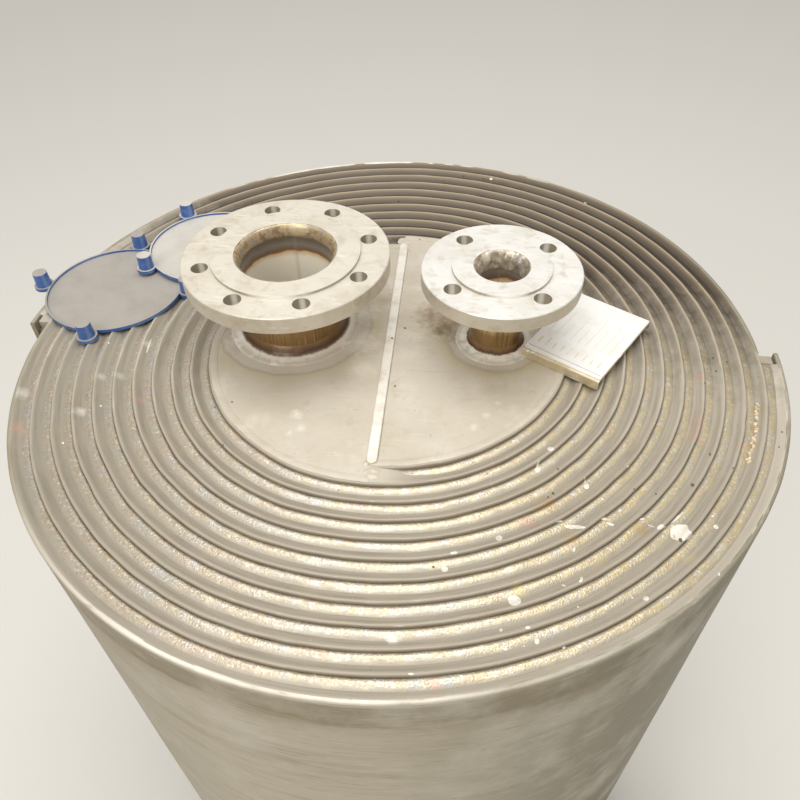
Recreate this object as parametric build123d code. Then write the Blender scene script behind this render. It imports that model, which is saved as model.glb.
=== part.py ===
from build123d import *
import math
import os

# Spiral heat exchanger, fully welded, standing on its lower end.
# Millimetres, +Z up. The origin is on the winding axis at the floor.
# The divider plate lies along Y, and the two plates wind counter-clockwise.

# Winding
plate_thickness = 3.5
winding_pitch = 20.0        # growth of one plate's radius in half a turn
divider_half_length = 186.0  # from the axis to the middle of a plate's first edge
half_turns = 11             # whole half turns of each plate
last_turn_angle = 89.0      # the part of a half turn after the whole ones
body_height = 1000.0
shell_thickness = 5.0       # the outermost half turn is a thicker plate

# Ends of the channels: each strip is set sloping, deepest at the foot of the plate it is welded to
strip_deep_recess = 8.0
strip_recess = 4.0
strip_thickness = 9.0       # on its thick side
seat_gap = 0.2              # room left for a weld between two seated pieces

# Centre
divider_thickness = 10.0
divider_cap_width = 10.5
divider_cap_height = 3.0
divider_cap_round = 1.2
cover_thickness = 12.0
cover_recess = 0.4

# Plates that close the channels' outer ends
end_bar_thickness = 12.0
end_bar_setback = 17.0      # from the shell's free end to the bar's far side
end_bar_recess = 1.5
end_slot_width = 4.0        # unwelded slot between the bar and the shell
end_slot_depth = 14.0
free_end_round = 2.2

# Nozzles: large is DN100, small is DN50, both PN16
large_pipe_radius = 54.0
large_pipe_wall = 4.0
large_flange_radius = 110.0
large_flange_thickness = 19.0
large_bolt_edge = 20.0      # from the bolt circle out to the rim
large_face_edge = 11.0      # from the bolt circle in to the raised face
large_bolt_count = 8
large_bolt_hole_radius = 9.0
small_pipe_radius = 28.5
small_pipe_wall = 3.5
small_flange_radius = 82.5
small_flange_thickness = 17.0
small_bolt_edge = 20.0
small_face_edge = 11.5
small_bolt_count = 4
small_bolt_hole_radius = 9.0
raised_face_height = 3.0
flange_edge_chamfer = 1.0
flange_slip = 0.6           # a slip-on flange's bore over its pipe, on the radius
pipe_hole_slip = 0.35
pipe_setback = 8.0          # the pipe ends this far inside the raised face
base_weld_leg = 8.0
inner_weld_leg = 2.6
shell_hole_step = 0.15      # the shell's hole is this much smaller than the pipe's bore

# Where the nozzles stand
left_nozzle_inset = 86.0    # from the first turn of the plate in to the nozzle's centre
left_nozzle_y = 18.0
right_nozzle_inset = 80.0
right_nozzle_y = 6.0
top_nozzle_reach = 94.0     # from the plates' top edges to the flange around its raised face
left_bolt_phase = 20.9
right_bolt_phase = 38.8
side_nozzle_reach = 120.0   # from the shell to the flange around its raised face
side_nozzle_height = 150.0
front_side_azimuth = -40.0
back_side_azimuth = 140.0

# Nameplate on its folded bracket
bracket_length = 124.0
bracket_width = 90.0
bracket_height = 11.0
bracket_sheet = 2.0
bracket_fold_radius = 1.5
nameplate_thickness = 1.0
nameplate_end_margin = 3.0
nameplate_side_margin = 0.5
nameplate_corner = 1.5
nameplate_from_nozzle_x = 99.6
nameplate_from_nozzle_y = 1.8
nameplate_turn = 57.1

# Protective caps for the flanges, lying loose on the top
cap_slip = 0.5              # the dish's room round the raised face
cap_height = 4.0
cap_wall = 2.0
cap_skin = 1.5
cap_peg_count = 4
cap_ear_radius = 11.5
cap_peg_foot_radius = 9.2
cap_peg_tip_radius = 8.2
cap_peg_height = 17.0
lower_cap_inset = 72.9      # from the shell's outside in to the cap's centre
lower_cap_azimuth = 169.0
lower_cap_phase = 0.0
upper_cap_inset = 129.6
upper_cap_azimuth = 146.8
upper_cap_phase = 38.5
cap_rest_gap = 0.3

first_radius = divider_half_length + winding_pitch / 2
left_nozzle_x = left_nozzle_inset - first_radius
right_nozzle_x = first_radius - right_nozzle_inset
top = body_height


def turn_centre(turn):
    """The half turns are struck from two centres on the divider, by turns."""
    side = 1 if turn % 2 == 0 else -1
    return side * winding_pitch / 2


def winding(first, last, last_angle, first_angle=0.0):
    """Centre, radius, start and angle of each arc from half turn first to last.

    The first half turn starts first_angle late, and the last is last_angle long.
    """
    for turn in range(first, last + 1):
        start_angle = -90 + 180 * turn
        arc_angle = 180.0
        if turn == last:
            arc_angle = last_angle
        if turn == first:
            start_angle += first_angle
            arc_angle -= first_angle
        radius = first_radius + turn * winding_pitch
        yield (0, turn_centre(turn)), radius, start_angle, arc_angle


def band(arcs, inner, outer):
    """A flat band along the arcs; its edges are measured out from the plate's middle."""
    outer_arcs = []
    inner_arcs = []
    for centre, radius, start_angle, arc_angle in arcs:
        outer_arcs.append(CenterArc(centre, radius + outer, start_angle, arc_angle))
        inner_arcs.append(CenterArc(centre, radius + inner, start_angle, arc_angle))
    start_line = Line(inner_arcs[0] @ 0, outer_arcs[0] @ 0)
    end_line = Line(inner_arcs[-1] @ 1, outer_arcs[-1] @ 1)
    edges = [start_line] + outer_arcs + [end_line] + inner_arcs
    return make_face(edges)


def wound(arcs, section):
    """A bar along the arcs; its section is (out from the plate's middle, height) points."""
    pieces = []
    for centre, radius, start_angle, arc_angle in arcs:
        outline = Polyline([(radius + out, height) for out, height in section], close=True)
        piece = revolve(Plane.XZ * make_face(outline), Axis.Z, arc_angle)
        pieces.append(Pos(*centre) * Rot(0, 0, start_angle) * piece)
    return pieces[0].fuse(*pieces[1:])


def opposite(shape):
    """The second plate and all that goes with it is the first, half a turn round."""
    return Rot(0, 0, 180) * shape


def raised(face, bottom, height):
    return Pos(0, 0, bottom) * extrude(face, height)


# The winding
half_plate = plate_thickness / 2
shell_outer = shell_thickness - half_plate
shell_first = half_turns - 1
inner_face = band(winding(0, shell_first, last_turn_angle), -half_plate, half_plate)
shell_face = band(
    winding(shell_first, half_turns, last_turn_angle, last_turn_angle),
    -half_plate, shell_outer)
spiral_plate_a = raised(inner_face, 0, body_height)
spiral_plate_b = opposite(spiral_plate_a)


# Nozzles
def ring(outer, inner, bottom, height):
    return Pos(0, 0, bottom) * extrude(Circle(outer) - Circle(inner), height)


def flange(radius, thickness, bolt_edge, face_edge, bore, count, hole, phase):
    """A slip-on flange on +Z, its flat rim's upper side at zero."""
    bolt_radius = radius - bolt_edge
    face_radius = bolt_radius - face_edge
    profile = Polyline(
        (bore, -thickness),
        (radius - flange_edge_chamfer, -thickness),
        (radius, -thickness + flange_edge_chamfer),
        (radius, -flange_edge_chamfer),
        (radius - flange_edge_chamfer, 0),
        (face_radius, 0),
        (face_radius, raised_face_height),
        (bore, raised_face_height),
        close=True)
    body = revolve(Plane.XZ * make_face(profile), Axis.Z)
    drill = Pos(0, 0, -thickness) * Cylinder(
        hole, thickness, align=(Align.CENTER, Align.CENTER, Align.MIN))
    for index in range(count):
        angle = math.radians(phase + 360 * index / count)
        body -= Pos(bolt_radius * math.cos(angle), bolt_radius * math.sin(angle), 0) * drill
    return body


def fillet_weld(radius, leg, z):
    """A fillet weld round a pipe that stands on a flat plate."""
    profile = Polyline((radius, z), (radius + leg, z), (radius, z + leg), close=True)
    return revolve(Plane.XZ * make_face(profile), Axis.Z)


def inner_weld(bore, leg, z):
    """The bead inside the flange, on the end of the pipe."""
    profile = Polyline((bore, z), (bore - leg, z), (bore, z + leg), close=True)
    return revolve(Plane.XZ * make_face(profile), Axis.Z)


class Nozzle:
    """One size of nozzle, built on +Z with the flat rim's upper side at zero."""

    def __init__(self, size, phase):
        large = size == "large"
        self.pipe_radius = large_pipe_radius if large else small_pipe_radius
        wall = large_pipe_wall if large else small_pipe_wall
        self.bore = self.pipe_radius - wall
        self.seat = self.pipe_radius + flange_slip
        self.flange = flange(
            large_flange_radius if large else small_flange_radius,
            large_flange_thickness if large else small_flange_thickness,
            large_bolt_edge if large else small_bolt_edge,
            large_face_edge if large else small_face_edge,
            self.seat,
            large_bolt_count if large else small_bolt_count,
            large_bolt_hole_radius if large else small_bolt_hole_radius,
            phase)
        self.pipe_end = raised_face_height - pipe_setback
        self.inner_weld = inner_weld(self.seat, inner_weld_leg, self.pipe_end)

    def pipe(self, length):
        return ring(self.pipe_radius, self.bore, self.pipe_end - length, length)


large_left = Nozzle("large", left_bolt_phase)
small_right = Nozzle("small", right_bolt_phase)
large_side = Nozzle("large", 180 / large_bolt_count)
small_side = Nozzle("small", 180 / small_bolt_count)

nodes = {}


def top_nozzle(name, nozzle, x, y):
    """A nozzle that stands on a cover, its pipe set through the cover's hole."""
    place = Pos(x, y, top + top_nozzle_reach)
    cover_top = -top_nozzle_reach - cover_recess
    length = nozzle.pipe_end - cover_top + cover_thickness
    nodes[name + "_pipe"] = place * nozzle.pipe(length)
    nodes[name + "_flange"] = place * nozzle.flange
    nodes[name + "_inner_weld"] = place * nozzle.inner_weld
    nodes[name + "_base_weld"] = place * fillet_weld(
        nozzle.pipe_radius, base_weld_leg, cover_top)


def side_axis(azimuth):
    """The line along which a side nozzle stands square on the shell."""
    direction = Vector(math.cos(math.radians(azimuth)), math.sin(math.radians(azimuth)), 0)
    centre_y = turn_centre(half_turns) * (1 if azimuth > 0 else -1)
    return Vector(0, centre_y, side_nozzle_height), direction


shell_radius = first_radius + half_turns * winding_pitch + shell_outer


def side_nozzle(name, nozzle, azimuth):
    """A nozzle that is set on the shell, its pipe cut to the shell's curve."""
    centre, direction = side_axis(azimuth)
    face_at = centre + direction * (shell_radius + side_nozzle_reach)
    place = Plane(origin=face_at, z_dir=direction, x_dir=(0, 0, 1)).location
    length = nozzle.pipe_end + side_nozzle_reach + large_pipe_radius
    shell_space = Pos(centre.X, centre.Y, centre.Z) * Cylinder(
        shell_radius + seat_gap, large_flange_radius * 2)
    weld_space = Pos(centre.X, centre.Y, centre.Z) * Cylinder(
        shell_radius + seat_gap + base_weld_leg, large_flange_radius * 2)
    collar = place * ring(
        nozzle.pipe_radius + base_weld_leg, nozzle.pipe_radius,
        nozzle.pipe_end - length, length)
    nodes[name + "_pipe"] = place * nozzle.pipe(length) - shell_space
    nodes[name + "_flange"] = place * nozzle.flange
    nodes[name + "_inner_weld"] = place * nozzle.inner_weld
    nodes[name + "_base_weld"] = (collar & weld_space) - shell_space
    return place * (Pos(0, 0, nozzle.pipe_end - length) * Cylinder(
        nozzle.bore - shell_hole_step, length, align=(Align.CENTER, Align.CENTER, Align.MIN)))


top_nozzle("left_nozzle", large_left, left_nozzle_x, left_nozzle_y)
top_nozzle("right_nozzle", small_right, right_nozzle_x, right_nozzle_y)
front_hole = side_nozzle("front_side_nozzle", large_side, front_side_azimuth)
back_hole = side_nozzle("back_side_nozzle", small_side, back_side_azimuth)

shell_back = raised(shell_face, 0, body_height)
free_end = shell_back.edges().filter_by(Axis.Z).sort_by(Axis.X)[:2]
shell_back = fillet(free_end, free_end_round)
nodes["spiral_plate_a"] = spiral_plate_a
nodes["spiral_plate_b"] = spiral_plate_b
nodes["shell_back"] = shell_back - back_hole
nodes["shell_front"] = opposite(shell_back) - front_hole


# Strips that close the channels at both ends
strip_inner = half_plate + seat_gap / 2
strip_outer = winding_pitch - half_plate - seat_gap / 2
bar_angle = math.degrees(end_bar_setback / shell_radius)
strip_last = half_turns - 1
strip_under = top - strip_recess - strip_thickness
strip_arcs = winding(0, strip_last, last_turn_angle - bar_angle)
top_strip = wound(strip_arcs, [
    (strip_inner, strip_under),
    (strip_outer, strip_under),
    (strip_outer, top - strip_recess),
    (strip_inner, top - strip_deep_recess)])
bottom_strip = mirror(top_strip, Plane.XY.offset(body_height / 2))
nodes["top_strip_b"] = top_strip
nodes["top_strip_a"] = opposite(top_strip)
nodes["bottom_strip_b"] = bottom_strip
nodes["bottom_strip_a"] = opposite(bottom_strip)

# Plates across the channels' outer ends, just inside the free edge of the shell
bar_first_angle = last_turn_angle - bar_angle
bar_last_angle = bar_first_angle + math.degrees(end_bar_thickness / shell_radius)
bar_arcs = list(winding(strip_last, strip_last, bar_last_angle, bar_first_angle))
end_bar = raised(
    band(bar_arcs, strip_inner, strip_outer),
    end_bar_recess, body_height - 2 * end_bar_recess)
end_bar -= raised(
    band(bar_arcs, strip_outer - end_slot_width, strip_outer + seat_gap),
    top - end_slot_depth, end_slot_depth)
nodes["right_end_bar"] = end_bar
nodes["left_end_bar"] = opposite(end_bar)

# Divider plate and its weld cap
divider_reach = divider_half_length - half_plate - seat_gap
divider_top = top - cover_recess
nodes["divider_plate"] = Pos(0, 0, divider_top / 2) * Box(
    divider_thickness, 2 * divider_reach, divider_top)
cap_face = SlotOverall(2 * divider_reach, divider_cap_width, rotation=90)
divider_cap = Pos(0, 0, divider_top) * extrude(cap_face, divider_cap_height)
divider_cap = fillet(divider_cap.faces().sort_by(Axis.Z)[-1].edges(), divider_cap_round)
nodes["divider_weld_cap"] = divider_cap

# D-shaped covers over the two centre chambers
cover_radius = first_radius - half_plate - seat_gap
cover_side = divider_cap_width / 2 + seat_gap
disc = Pos(0, -winding_pitch / 2) * Circle(cover_radius)
left_half = Pos(-cover_radius / 2 - seat_gap, -winding_pitch / 2) * Rectangle(
    cover_radius, 2 * cover_radius)
divider_slot = Pos(0, winding_pitch / 2) * Rectangle(
    2 * cover_side, 2 * divider_half_length + winding_pitch)
left_face = (disc & left_half) - divider_slot
covers = {
    "top": (top - cover_recess - cover_thickness, True),
    "bottom": (cover_recess, False),
}
for end, (bottom, bored) in covers.items():
    left_cover = raised(left_face, bottom, cover_thickness)
    right_cover = opposite(left_cover)
    if bored:
        for_left = Pos(left_nozzle_x, left_nozzle_y, bottom) * Cylinder(
            large_left.pipe_radius + pipe_hole_slip, 4 * cover_thickness)
        for_right = Pos(right_nozzle_x, right_nozzle_y, bottom) * Cylinder(
            small_right.pipe_radius + pipe_hole_slip, 4 * cover_thickness)
        left_cover -= for_left
        right_cover -= for_right
    nodes[end + "_cover_left"] = left_cover
    nodes[end + "_cover_right"] = right_cover

# Nameplate and bracket
bracket_place = Pos(
    right_nozzle_x + nameplate_from_nozzle_x,
    right_nozzle_y + nameplate_from_nozzle_y, top) * Rot(0, 0, nameplate_turn)
outside = Box(bracket_length, bracket_width, bracket_height,
              align=(Align.CENTER, Align.CENTER, Align.MIN))
long_edges = outside.edges().filter_by(Axis.Y).group_by(Axis.Z)[-1]
outside = fillet(long_edges, bracket_fold_radius + bracket_sheet / 2)
inside = Box(bracket_length - 2 * bracket_sheet, bracket_width, bracket_height - bracket_sheet,
             align=(Align.CENTER, Align.CENTER, Align.MIN))
nodes["nameplate_bracket"] = bracket_place * (outside - inside)
nodes["nameplate"] = bracket_place * Pos(0, 0, bracket_height) * extrude(
    RectangleRounded(bracket_length - 2 * nameplate_end_margin,
                     bracket_width - 2 * nameplate_side_margin, nameplate_corner),
    nameplate_thickness)


# Loose caps: a shallow dish with four pegs that push into the large flange's bolt holes
cap_peg_circle = large_flange_radius - large_bolt_edge
cap_hollow = cap_peg_circle - large_face_edge + cap_slip
cap_radius = cap_hollow + cap_wall


def flange_cap():
    outline = Circle(cap_radius)
    pegs = []
    for index in range(cap_peg_count):
        angle = math.radians(360 * index / cap_peg_count)
        place = Pos(cap_peg_circle * math.cos(angle), cap_peg_circle * math.sin(angle))
        outline += place * Circle(cap_ear_radius)
        pegs.append(place * Cone(
            cap_peg_foot_radius, cap_peg_tip_radius, cap_peg_height + cap_height,
            align=(Align.CENTER, Align.CENTER, Align.MIN)))
    body = extrude(outline, cap_height)
    body -= Pos(0, 0, cap_skin) * extrude(Circle(cap_hollow), cap_height)
    return body + pegs


def on_the_rim(inset, azimuth):
    radius = shell_radius - inset
    return Vector(
        radius * math.cos(math.radians(azimuth)), radius * math.sin(math.radians(azimuth)), top)


cap = flange_cap()
lower_place = on_the_rim(lower_cap_inset, lower_cap_azimuth)
upper_place = on_the_rim(upper_cap_inset, upper_cap_azimuth)
nodes["lower_flange_cap"] = Pos(lower_place) * Rot(0, 0, lower_cap_phase) * cap

# The upper cap leans: one side on the plates' edges, the other on the lower cap's rim
between = lower_place - upper_place
towards_lower = math.degrees(math.atan2(between.Y, between.X))
low_side = cap_peg_circle + cap_ear_radius
rim_side = between.length - cap_radius
lean = math.degrees(math.atan2(cap_height, rim_side + low_side))
lift = cap_rest_gap + math.tan(math.radians(lean)) * low_side
nodes["upper_flange_cap"] = (
    Pos(upper_place + Vector(0, 0, lift))
    * Rot(0, 0, towards_lower) * Rot(0, -lean, 0)
    * Rot(0, 0, upper_cap_phase - towards_lower) * cap)

os.makedirs("parts", exist_ok=True)
for name, shape in nodes.items():
    shape.label = name
    export_step(shape, "parts/" + name + ".step")
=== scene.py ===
# %% [markdown]
# # A spiral heat exchanger, dressed in Blender
# Two steel plates are wound together round a divider. The CAD frame gives every piece its size and
# place. This lesson adds what welding, grinding, pickling and a year in a yard leave on the steel:
# rounded plate edges, weld beads, heat tints, dirt and paint splashes.

import math
import random

import bmesh
import bpy
from mathutils import Matrix, Vector, noise


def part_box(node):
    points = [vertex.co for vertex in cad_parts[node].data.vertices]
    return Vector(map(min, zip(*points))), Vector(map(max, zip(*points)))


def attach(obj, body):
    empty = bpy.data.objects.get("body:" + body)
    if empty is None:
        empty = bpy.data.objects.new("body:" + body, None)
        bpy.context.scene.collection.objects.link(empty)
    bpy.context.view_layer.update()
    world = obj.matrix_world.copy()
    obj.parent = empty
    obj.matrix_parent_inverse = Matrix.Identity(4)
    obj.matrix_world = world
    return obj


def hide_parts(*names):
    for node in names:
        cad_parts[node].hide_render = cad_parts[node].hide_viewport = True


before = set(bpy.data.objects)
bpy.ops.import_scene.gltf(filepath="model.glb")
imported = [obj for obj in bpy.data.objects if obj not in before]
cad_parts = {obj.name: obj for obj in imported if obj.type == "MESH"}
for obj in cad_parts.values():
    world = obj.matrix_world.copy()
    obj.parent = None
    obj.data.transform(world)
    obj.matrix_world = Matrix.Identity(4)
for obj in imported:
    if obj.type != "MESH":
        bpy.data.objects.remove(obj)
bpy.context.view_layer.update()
MM = 0.001
print("CAD nodes:", len(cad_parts))

# %% [markdown]
# ## The camera and the light come first
# The photograph looks steeply down at the top end. Its camera was worked out from the bolt holes of
# the two flanges, so each piece can be set against the same pixel of the photograph.

# %% Camera
PHOTO_SIZE = 800
FOCAL_PIXELS = 735.83
SENSOR_MM = 36.0
CAMERA_PLACE = Vector((0.0757, -0.6233, 1.5322))
CAMERA_TURN = math.radians(6.109)
CAMERA_DOWN = math.radians(45.17)
CAMERA_ROLL = -0.0248

forward = Vector((-math.sin(CAMERA_TURN) * math.cos(CAMERA_DOWN),
                  math.cos(CAMERA_TURN) * math.cos(CAMERA_DOWN),
                  -math.sin(CAMERA_DOWN)))
level = Vector((math.cos(CAMERA_TURN), math.sin(CAMERA_TURN), 0))
upright = level.cross(forward)
right = math.cos(CAMERA_ROLL) * level + math.sin(CAMERA_ROLL) * upright
up = -math.sin(CAMERA_ROLL) * level + math.cos(CAMERA_ROLL) * upright

lens = bpy.data.cameras.new("photo_camera")
lens.sensor_width = SENSOR_MM
lens.lens = FOCAL_PIXELS / PHOTO_SIZE * SENSOR_MM
camera = bpy.data.objects.new("photo_camera", lens)
camera.matrix_world = Matrix((
    (right.x, up.x, -forward.x, CAMERA_PLACE.x),
    (right.y, up.y, -forward.y, CAMERA_PLACE.y),
    (right.z, up.z, -forward.z, CAMERA_PLACE.z),
    (0, 0, 0, 1)))
bpy.context.scene.collection.objects.link(camera)
bpy.context.scene.camera = camera
bpy.context.scene.view_settings.view_transform = "Standard"
print("lens", round(lens.lens, 2), "mm")

# %% [markdown]
# Marks that the photograph shows, such as paint splashes and tints, are named by its pixels. A line
# of sight through the pixel meets the steel, so each mark lies on what carries it.

# %% Lines of sight
def sight(px, py):
    """The direction in which the photograph's pixel looks."""
    half = PHOTO_SIZE / 2
    return (forward + (px - half) / FOCAL_PIXELS * right + (half - py) / FOCAL_PIXELS * up).normalized()


def on_level(px, py, height):
    """The point at that height that the pixel shows."""
    ray = sight(px, py)
    return CAMERA_PLACE + ray * ((height - CAMERA_PLACE.z) / ray.z)


# %% [markdown]
# Three small helpers do what every step needs. Colours are written as on a screen and turned into
# the linear values that Blender mixes. A node is added with its settings and links in one call. A
# finished shape becomes a piece that rides on the exchanger's one body.

# %% Helpers for colours, nodes and pieces
def linear(hex_colour):
    """An sRGB hex colour as Blender's linear red, green, blue and alpha."""
    channels = [int(hex_colour[i:i + 2], 16) / 255 for i in (1, 3, 5)]
    return [c / 12.92 if c <= 0.04045 else ((c + 0.055) / 1.055) ** 2.4 for c in channels] + [1.0]


def add(tree, kind, inputs=None, stops=None, **settings):
    """Adds one node: its settings, its inputs as values or links, and a ramp's stops."""
    node = tree.nodes.new(kind)
    for name, value in settings.items():
        setattr(node, name, value)
    for socket, source in (inputs or {}).items():
        if isinstance(source, bpy.types.NodeSocket):
            tree.links.new(source, node.inputs[socket])
        else:
            node.inputs[socket].default_value = source
    if stops:
        ramp = node.color_ramp
        while len(ramp.elements) < len(stops):
            ramp.elements.new(1.0)
        for element, (place, colour) in zip(ramp.elements, stops):
            element.position = place
            element.color = linear(colour)
    return node


def finished(bm, name, material, replaced=(), smooth_below=40):
    """Turns a bmesh into a piece; edges sharper than smooth_below degrees stay sharp."""
    bmesh.ops.recalc_face_normals(bm, faces=bm.faces)
    mesh = bpy.data.meshes.new(name)
    bm.to_mesh(mesh)
    bm.free()
    for polygon in mesh.polygons:
        polygon.use_smooth = True
    mesh.set_sharp_from_angle(angle=math.radians(smooth_below))
    mesh.materials.append(material)
    piece = bpy.data.objects.new(name, mesh)
    bpy.context.scene.collection.objects.link(piece)
    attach(piece, "root")
    if replaced:
        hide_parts(*replaced)
    print(name, len(mesh.polygons), "faces")
    return piece


# %% [markdown]
# The exchanger stands on pale paper. The light is a pale sky, brightest overhead, and one large soft
# window above the exchanger. It makes the near beads gleam, leaves the faces that look to the side
# darker and throws no hard shadow. A weak one at the front keeps the shell and the bores open.

# %% Floor and lights
FLOOR_REACH = 12.0
SKY = [(0.0, "#8a857d"), (0.25, "#b5b0a8"), (0.75, "#f7f5f1")]
SKY_STRENGTH = 0.82
WINDOW_LIGHT = "#fffdf8"

floor_mesh = bpy.data.meshes.new("studio_floor")
bm = bmesh.new()
bmesh.ops.create_grid(bm, x_segments=1, y_segments=1, size=FLOOR_REACH)
bm.to_mesh(floor_mesh)
bm.free()
floor = bpy.data.objects.new("studio_floor", floor_mesh)
bpy.context.scene.collection.objects.link(floor)

paper = bpy.data.materials.new("pale paper")
paper.use_nodes = True
paper.node_tree.nodes.clear()
paper_cover = add(paper.node_tree, "ShaderNodeBsdfDiffuse", {"Color": linear("#e3e1dc")})
add(paper.node_tree, "ShaderNodeOutputMaterial", {"Surface": paper_cover.outputs[0]})
floor_mesh.materials.append(paper)

world = bpy.data.worlds.new("studio")
bpy.context.scene.world = world
world.use_nodes = True
world.node_tree.nodes.clear()
ray = add(world.node_tree, "ShaderNodeTexCoord")
height = add(world.node_tree, "ShaderNodeSeparateXYZ", {0: ray.outputs["Generated"]})
sky = add(world.node_tree, "ShaderNodeValToRGB", {0: height.outputs["Z"]}, stops=SKY)
glow = add(world.node_tree, "ShaderNodeBackground", {"Color": sky.outputs[0], "Strength": SKY_STRENGTH})
add(world.node_tree, "ShaderNodeOutputWorld", {"Surface": glow.outputs[0]})


def softbox(name, place, aim, width, depth, watts):
    """A large soft area light at place, looking at aim."""
    light = bpy.data.lights.new(name, "AREA")
    light.shape = "RECTANGLE"
    light.size = width
    light.size_y = depth
    light.energy = watts
    light.color = linear(WINDOW_LIGHT)[:3]
    lamp = bpy.data.objects.new(name, light)
    lamp.location = place
    lamp.rotation_euler = (Vector(aim) - Vector(place)).to_track_quat("-Z", "Y").to_euler()
    bpy.context.scene.collection.objects.link(lamp)
    print(name, watts, "W")


softbox("overhead_window", place=(0.0, 0.15, 4.2), aim=(0, 0, 1.0), width=2.4, depth=2.4, watts=64)
softbox("front_fill", place=(-1.1, -2.4, 3.3), aim=(0, 0, 0.9), width=2.0, depth=2.0, watts=38)

# %% [markdown]
# ## The winding
# Each plate is a chain of half circles struck by turns from two centres. A spin about the first
# centre, then about the second with the last edge loop kept, draws exactly that line. So one short
# section and eleven spins make ten metres of plate edge, weld bead or shell.

# %% The winding's sizes
PITCH = 20 * MM
PLATE = 3.5 * MM
SHELL = 5 * MM
FIRST_RADIUS = 196 * MM
HALF_TURNS = 11
LAST_ANGLE = 89.0
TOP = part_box("spiral_plate_a")[1].z
HALF = PLATE / 2
BAR_SETBACK = 17 * MM
SHELL_RADIUS = FIRST_RADIUS + HALF_TURNS * PITCH + SHELL - HALF
BAR_ANGLE = math.degrees(BAR_SETBACK / SHELL_RADIUS)
STRETCH_STEPS = 24           # a long spin is made in short stretches, which is much faster
SLACK = 0.01                 # keeps a stretch's first corners from counting as a whole turn
MERGE = 0.01 * MM
print("shell radius", round(SHELL_RADIUS / MM, 2), "mm")

# %% [markdown]
# Every corner remembers how far out it lies from the plate and how far along the winding. The
# finishes read both later, so dirt and heat tints keep to their place on ten metres of seam.

# %% Winding a section
def winding(first, last, last_angle, first_angle=0.0):
    """Centre, radius, start and angle of each half turn; the first starts late, the last is short."""
    for turn in range(first, last + 1):
        start = -90.0 + 180 * turn
        sweep = 180.0
        if turn == last:
            sweep = last_angle
        if turn == first:
            start += first_angle
            sweep -= first_angle
        centre = PITCH / 2 if turn % 2 == 0 else -PITCH / 2
        yield Vector((0, centre, 0)), FIRST_RADIUS + turn * PITCH, math.radians(start), math.radians(sweep)


def wind(arcs, section, step):
    """Spins a closed section of (out, height) points along the arcs, in steps of that length."""
    whole = bmesh.new()
    stretch = bpy.data.meshes.new("stretch")
    length = 0.0
    for centre, radius, start, sweep in arcs:
        stretches = math.ceil(sweep * radius / step / STRETCH_STEPS)
        part_sweep = sweep / stretches
        for number in range(stretches):
            begin = start + number * part_sweep
            outward = Vector((math.cos(begin), math.sin(begin), 0))
            part = bmesh.new()
            across = part.verts.layers.float.new("out")
            along = part.verts.layers.float.new("along")
            corners = []
            for out, height in section:
                corner = part.verts.new(centre + outward * (radius + out) + Vector((0, 0, height)))
                corner[across] = out
                corners.append(corner)
            loop = [part.edges.new(pair) for pair in zip(corners, corners[1:] + corners[:1])]
            bmesh.ops.spin(part, geom=corners + loop, cent=centre, axis=(0, 0, 1), angle=part_sweep,
                           steps=max(1, round(part_sweep * radius / step)), use_merge=False,
                           use_duplicate=False)
            for corner in part.verts:
                arm = corner.co - centre
                turned = (math.atan2(arm.y, arm.x) - begin + SLACK) % math.tau - SLACK
                corner[along] = length + (number * part_sweep + turned) * radius
            part.to_mesh(stretch)
            part.free()
            whole.from_mesh(stretch)
        length += sweep * radius
    bpy.data.meshes.remove(stretch)
    bmesh.ops.remove_doubles(whole, verts=whole.verts, dist=MERGE)
    bmesh.ops.holes_fill(whole, edges=[e for e in whole.edges if e.is_boundary], sides=0)
    bmesh.ops.recalc_face_normals(whole, faces=whole.faces)
    return whole


# %% [markdown]
# The second plate is the first one turned half round, and the lower end mirrors the upper one, so no
# shape is made twice. Smooth noise takes the machined look off whatever was rolled, ground or welded.

# %% Turning, mirroring and unevenness
def half_turned(bm):
    """The second plate and all that goes with it is the first, half a turn round."""
    bmesh.ops.rotate(bm, verts=bm.verts, cent=(0, 0, 0), matrix=Matrix.Rotation(math.pi, 3, "Z"))
    return bm


def upside_down(bm):
    """The lower end mirrors the upper one."""
    bmesh.ops.scale(bm, verts=bm.verts, vec=(1, 1, -1))
    bmesh.ops.translate(bm, verts=bm.verts, vec=(0, 0, TOP))
    return bm


def uneven(bm, amount, size, where=None):
    """Moves each vertex along its normal by smooth noise of that amount and size."""
    bm.normal_update()
    moves = [(v, v.normal * amount * noise.noise(v.co / size)) for v in bm.verts
             if where is None or where(v)]
    for v, move in moves:
        v.co += move
    return bm


# %% [markdown]
# ## Layers of colour on steel
# Real stainless steel that has been welded and pickled is never one colour. Each finish below starts
# from the bare metal and lays cloudy stains over it, each with its real size in millimetres. Patterns
# that follow the winding, such as rolling marks, read Object coordinates bent round the axis.

# %% Helpers for finishes
RESULT = 2                   # a Mix node's colour sockets go by number
LOWER = 6
UPPER = 7
PLACE = "object place"


def new_finish(name):
    """An empty material and its node tree, which starts with the place on the object."""
    material = bpy.data.materials.new(name)
    material.use_nodes = True
    material.node_tree.nodes.clear()
    add(material.node_tree, "ShaderNodeTexCoord", name=PLACE)
    return material, material.node_tree


def object_place(tree):
    """The Object coordinates that the tree starts with."""
    return tree.nodes[PLACE].outputs["Object"]


def grains(tree, size):
    """Where a noise is read and how fine; size is in metres, or coordinates scaled to it already."""
    if isinstance(size, bpy.types.NodeSocket):
        return {"Vector": size, "Scale": 1.0}
    return {"Vector": object_place(tree), "Scale": 1 / size}


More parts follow.
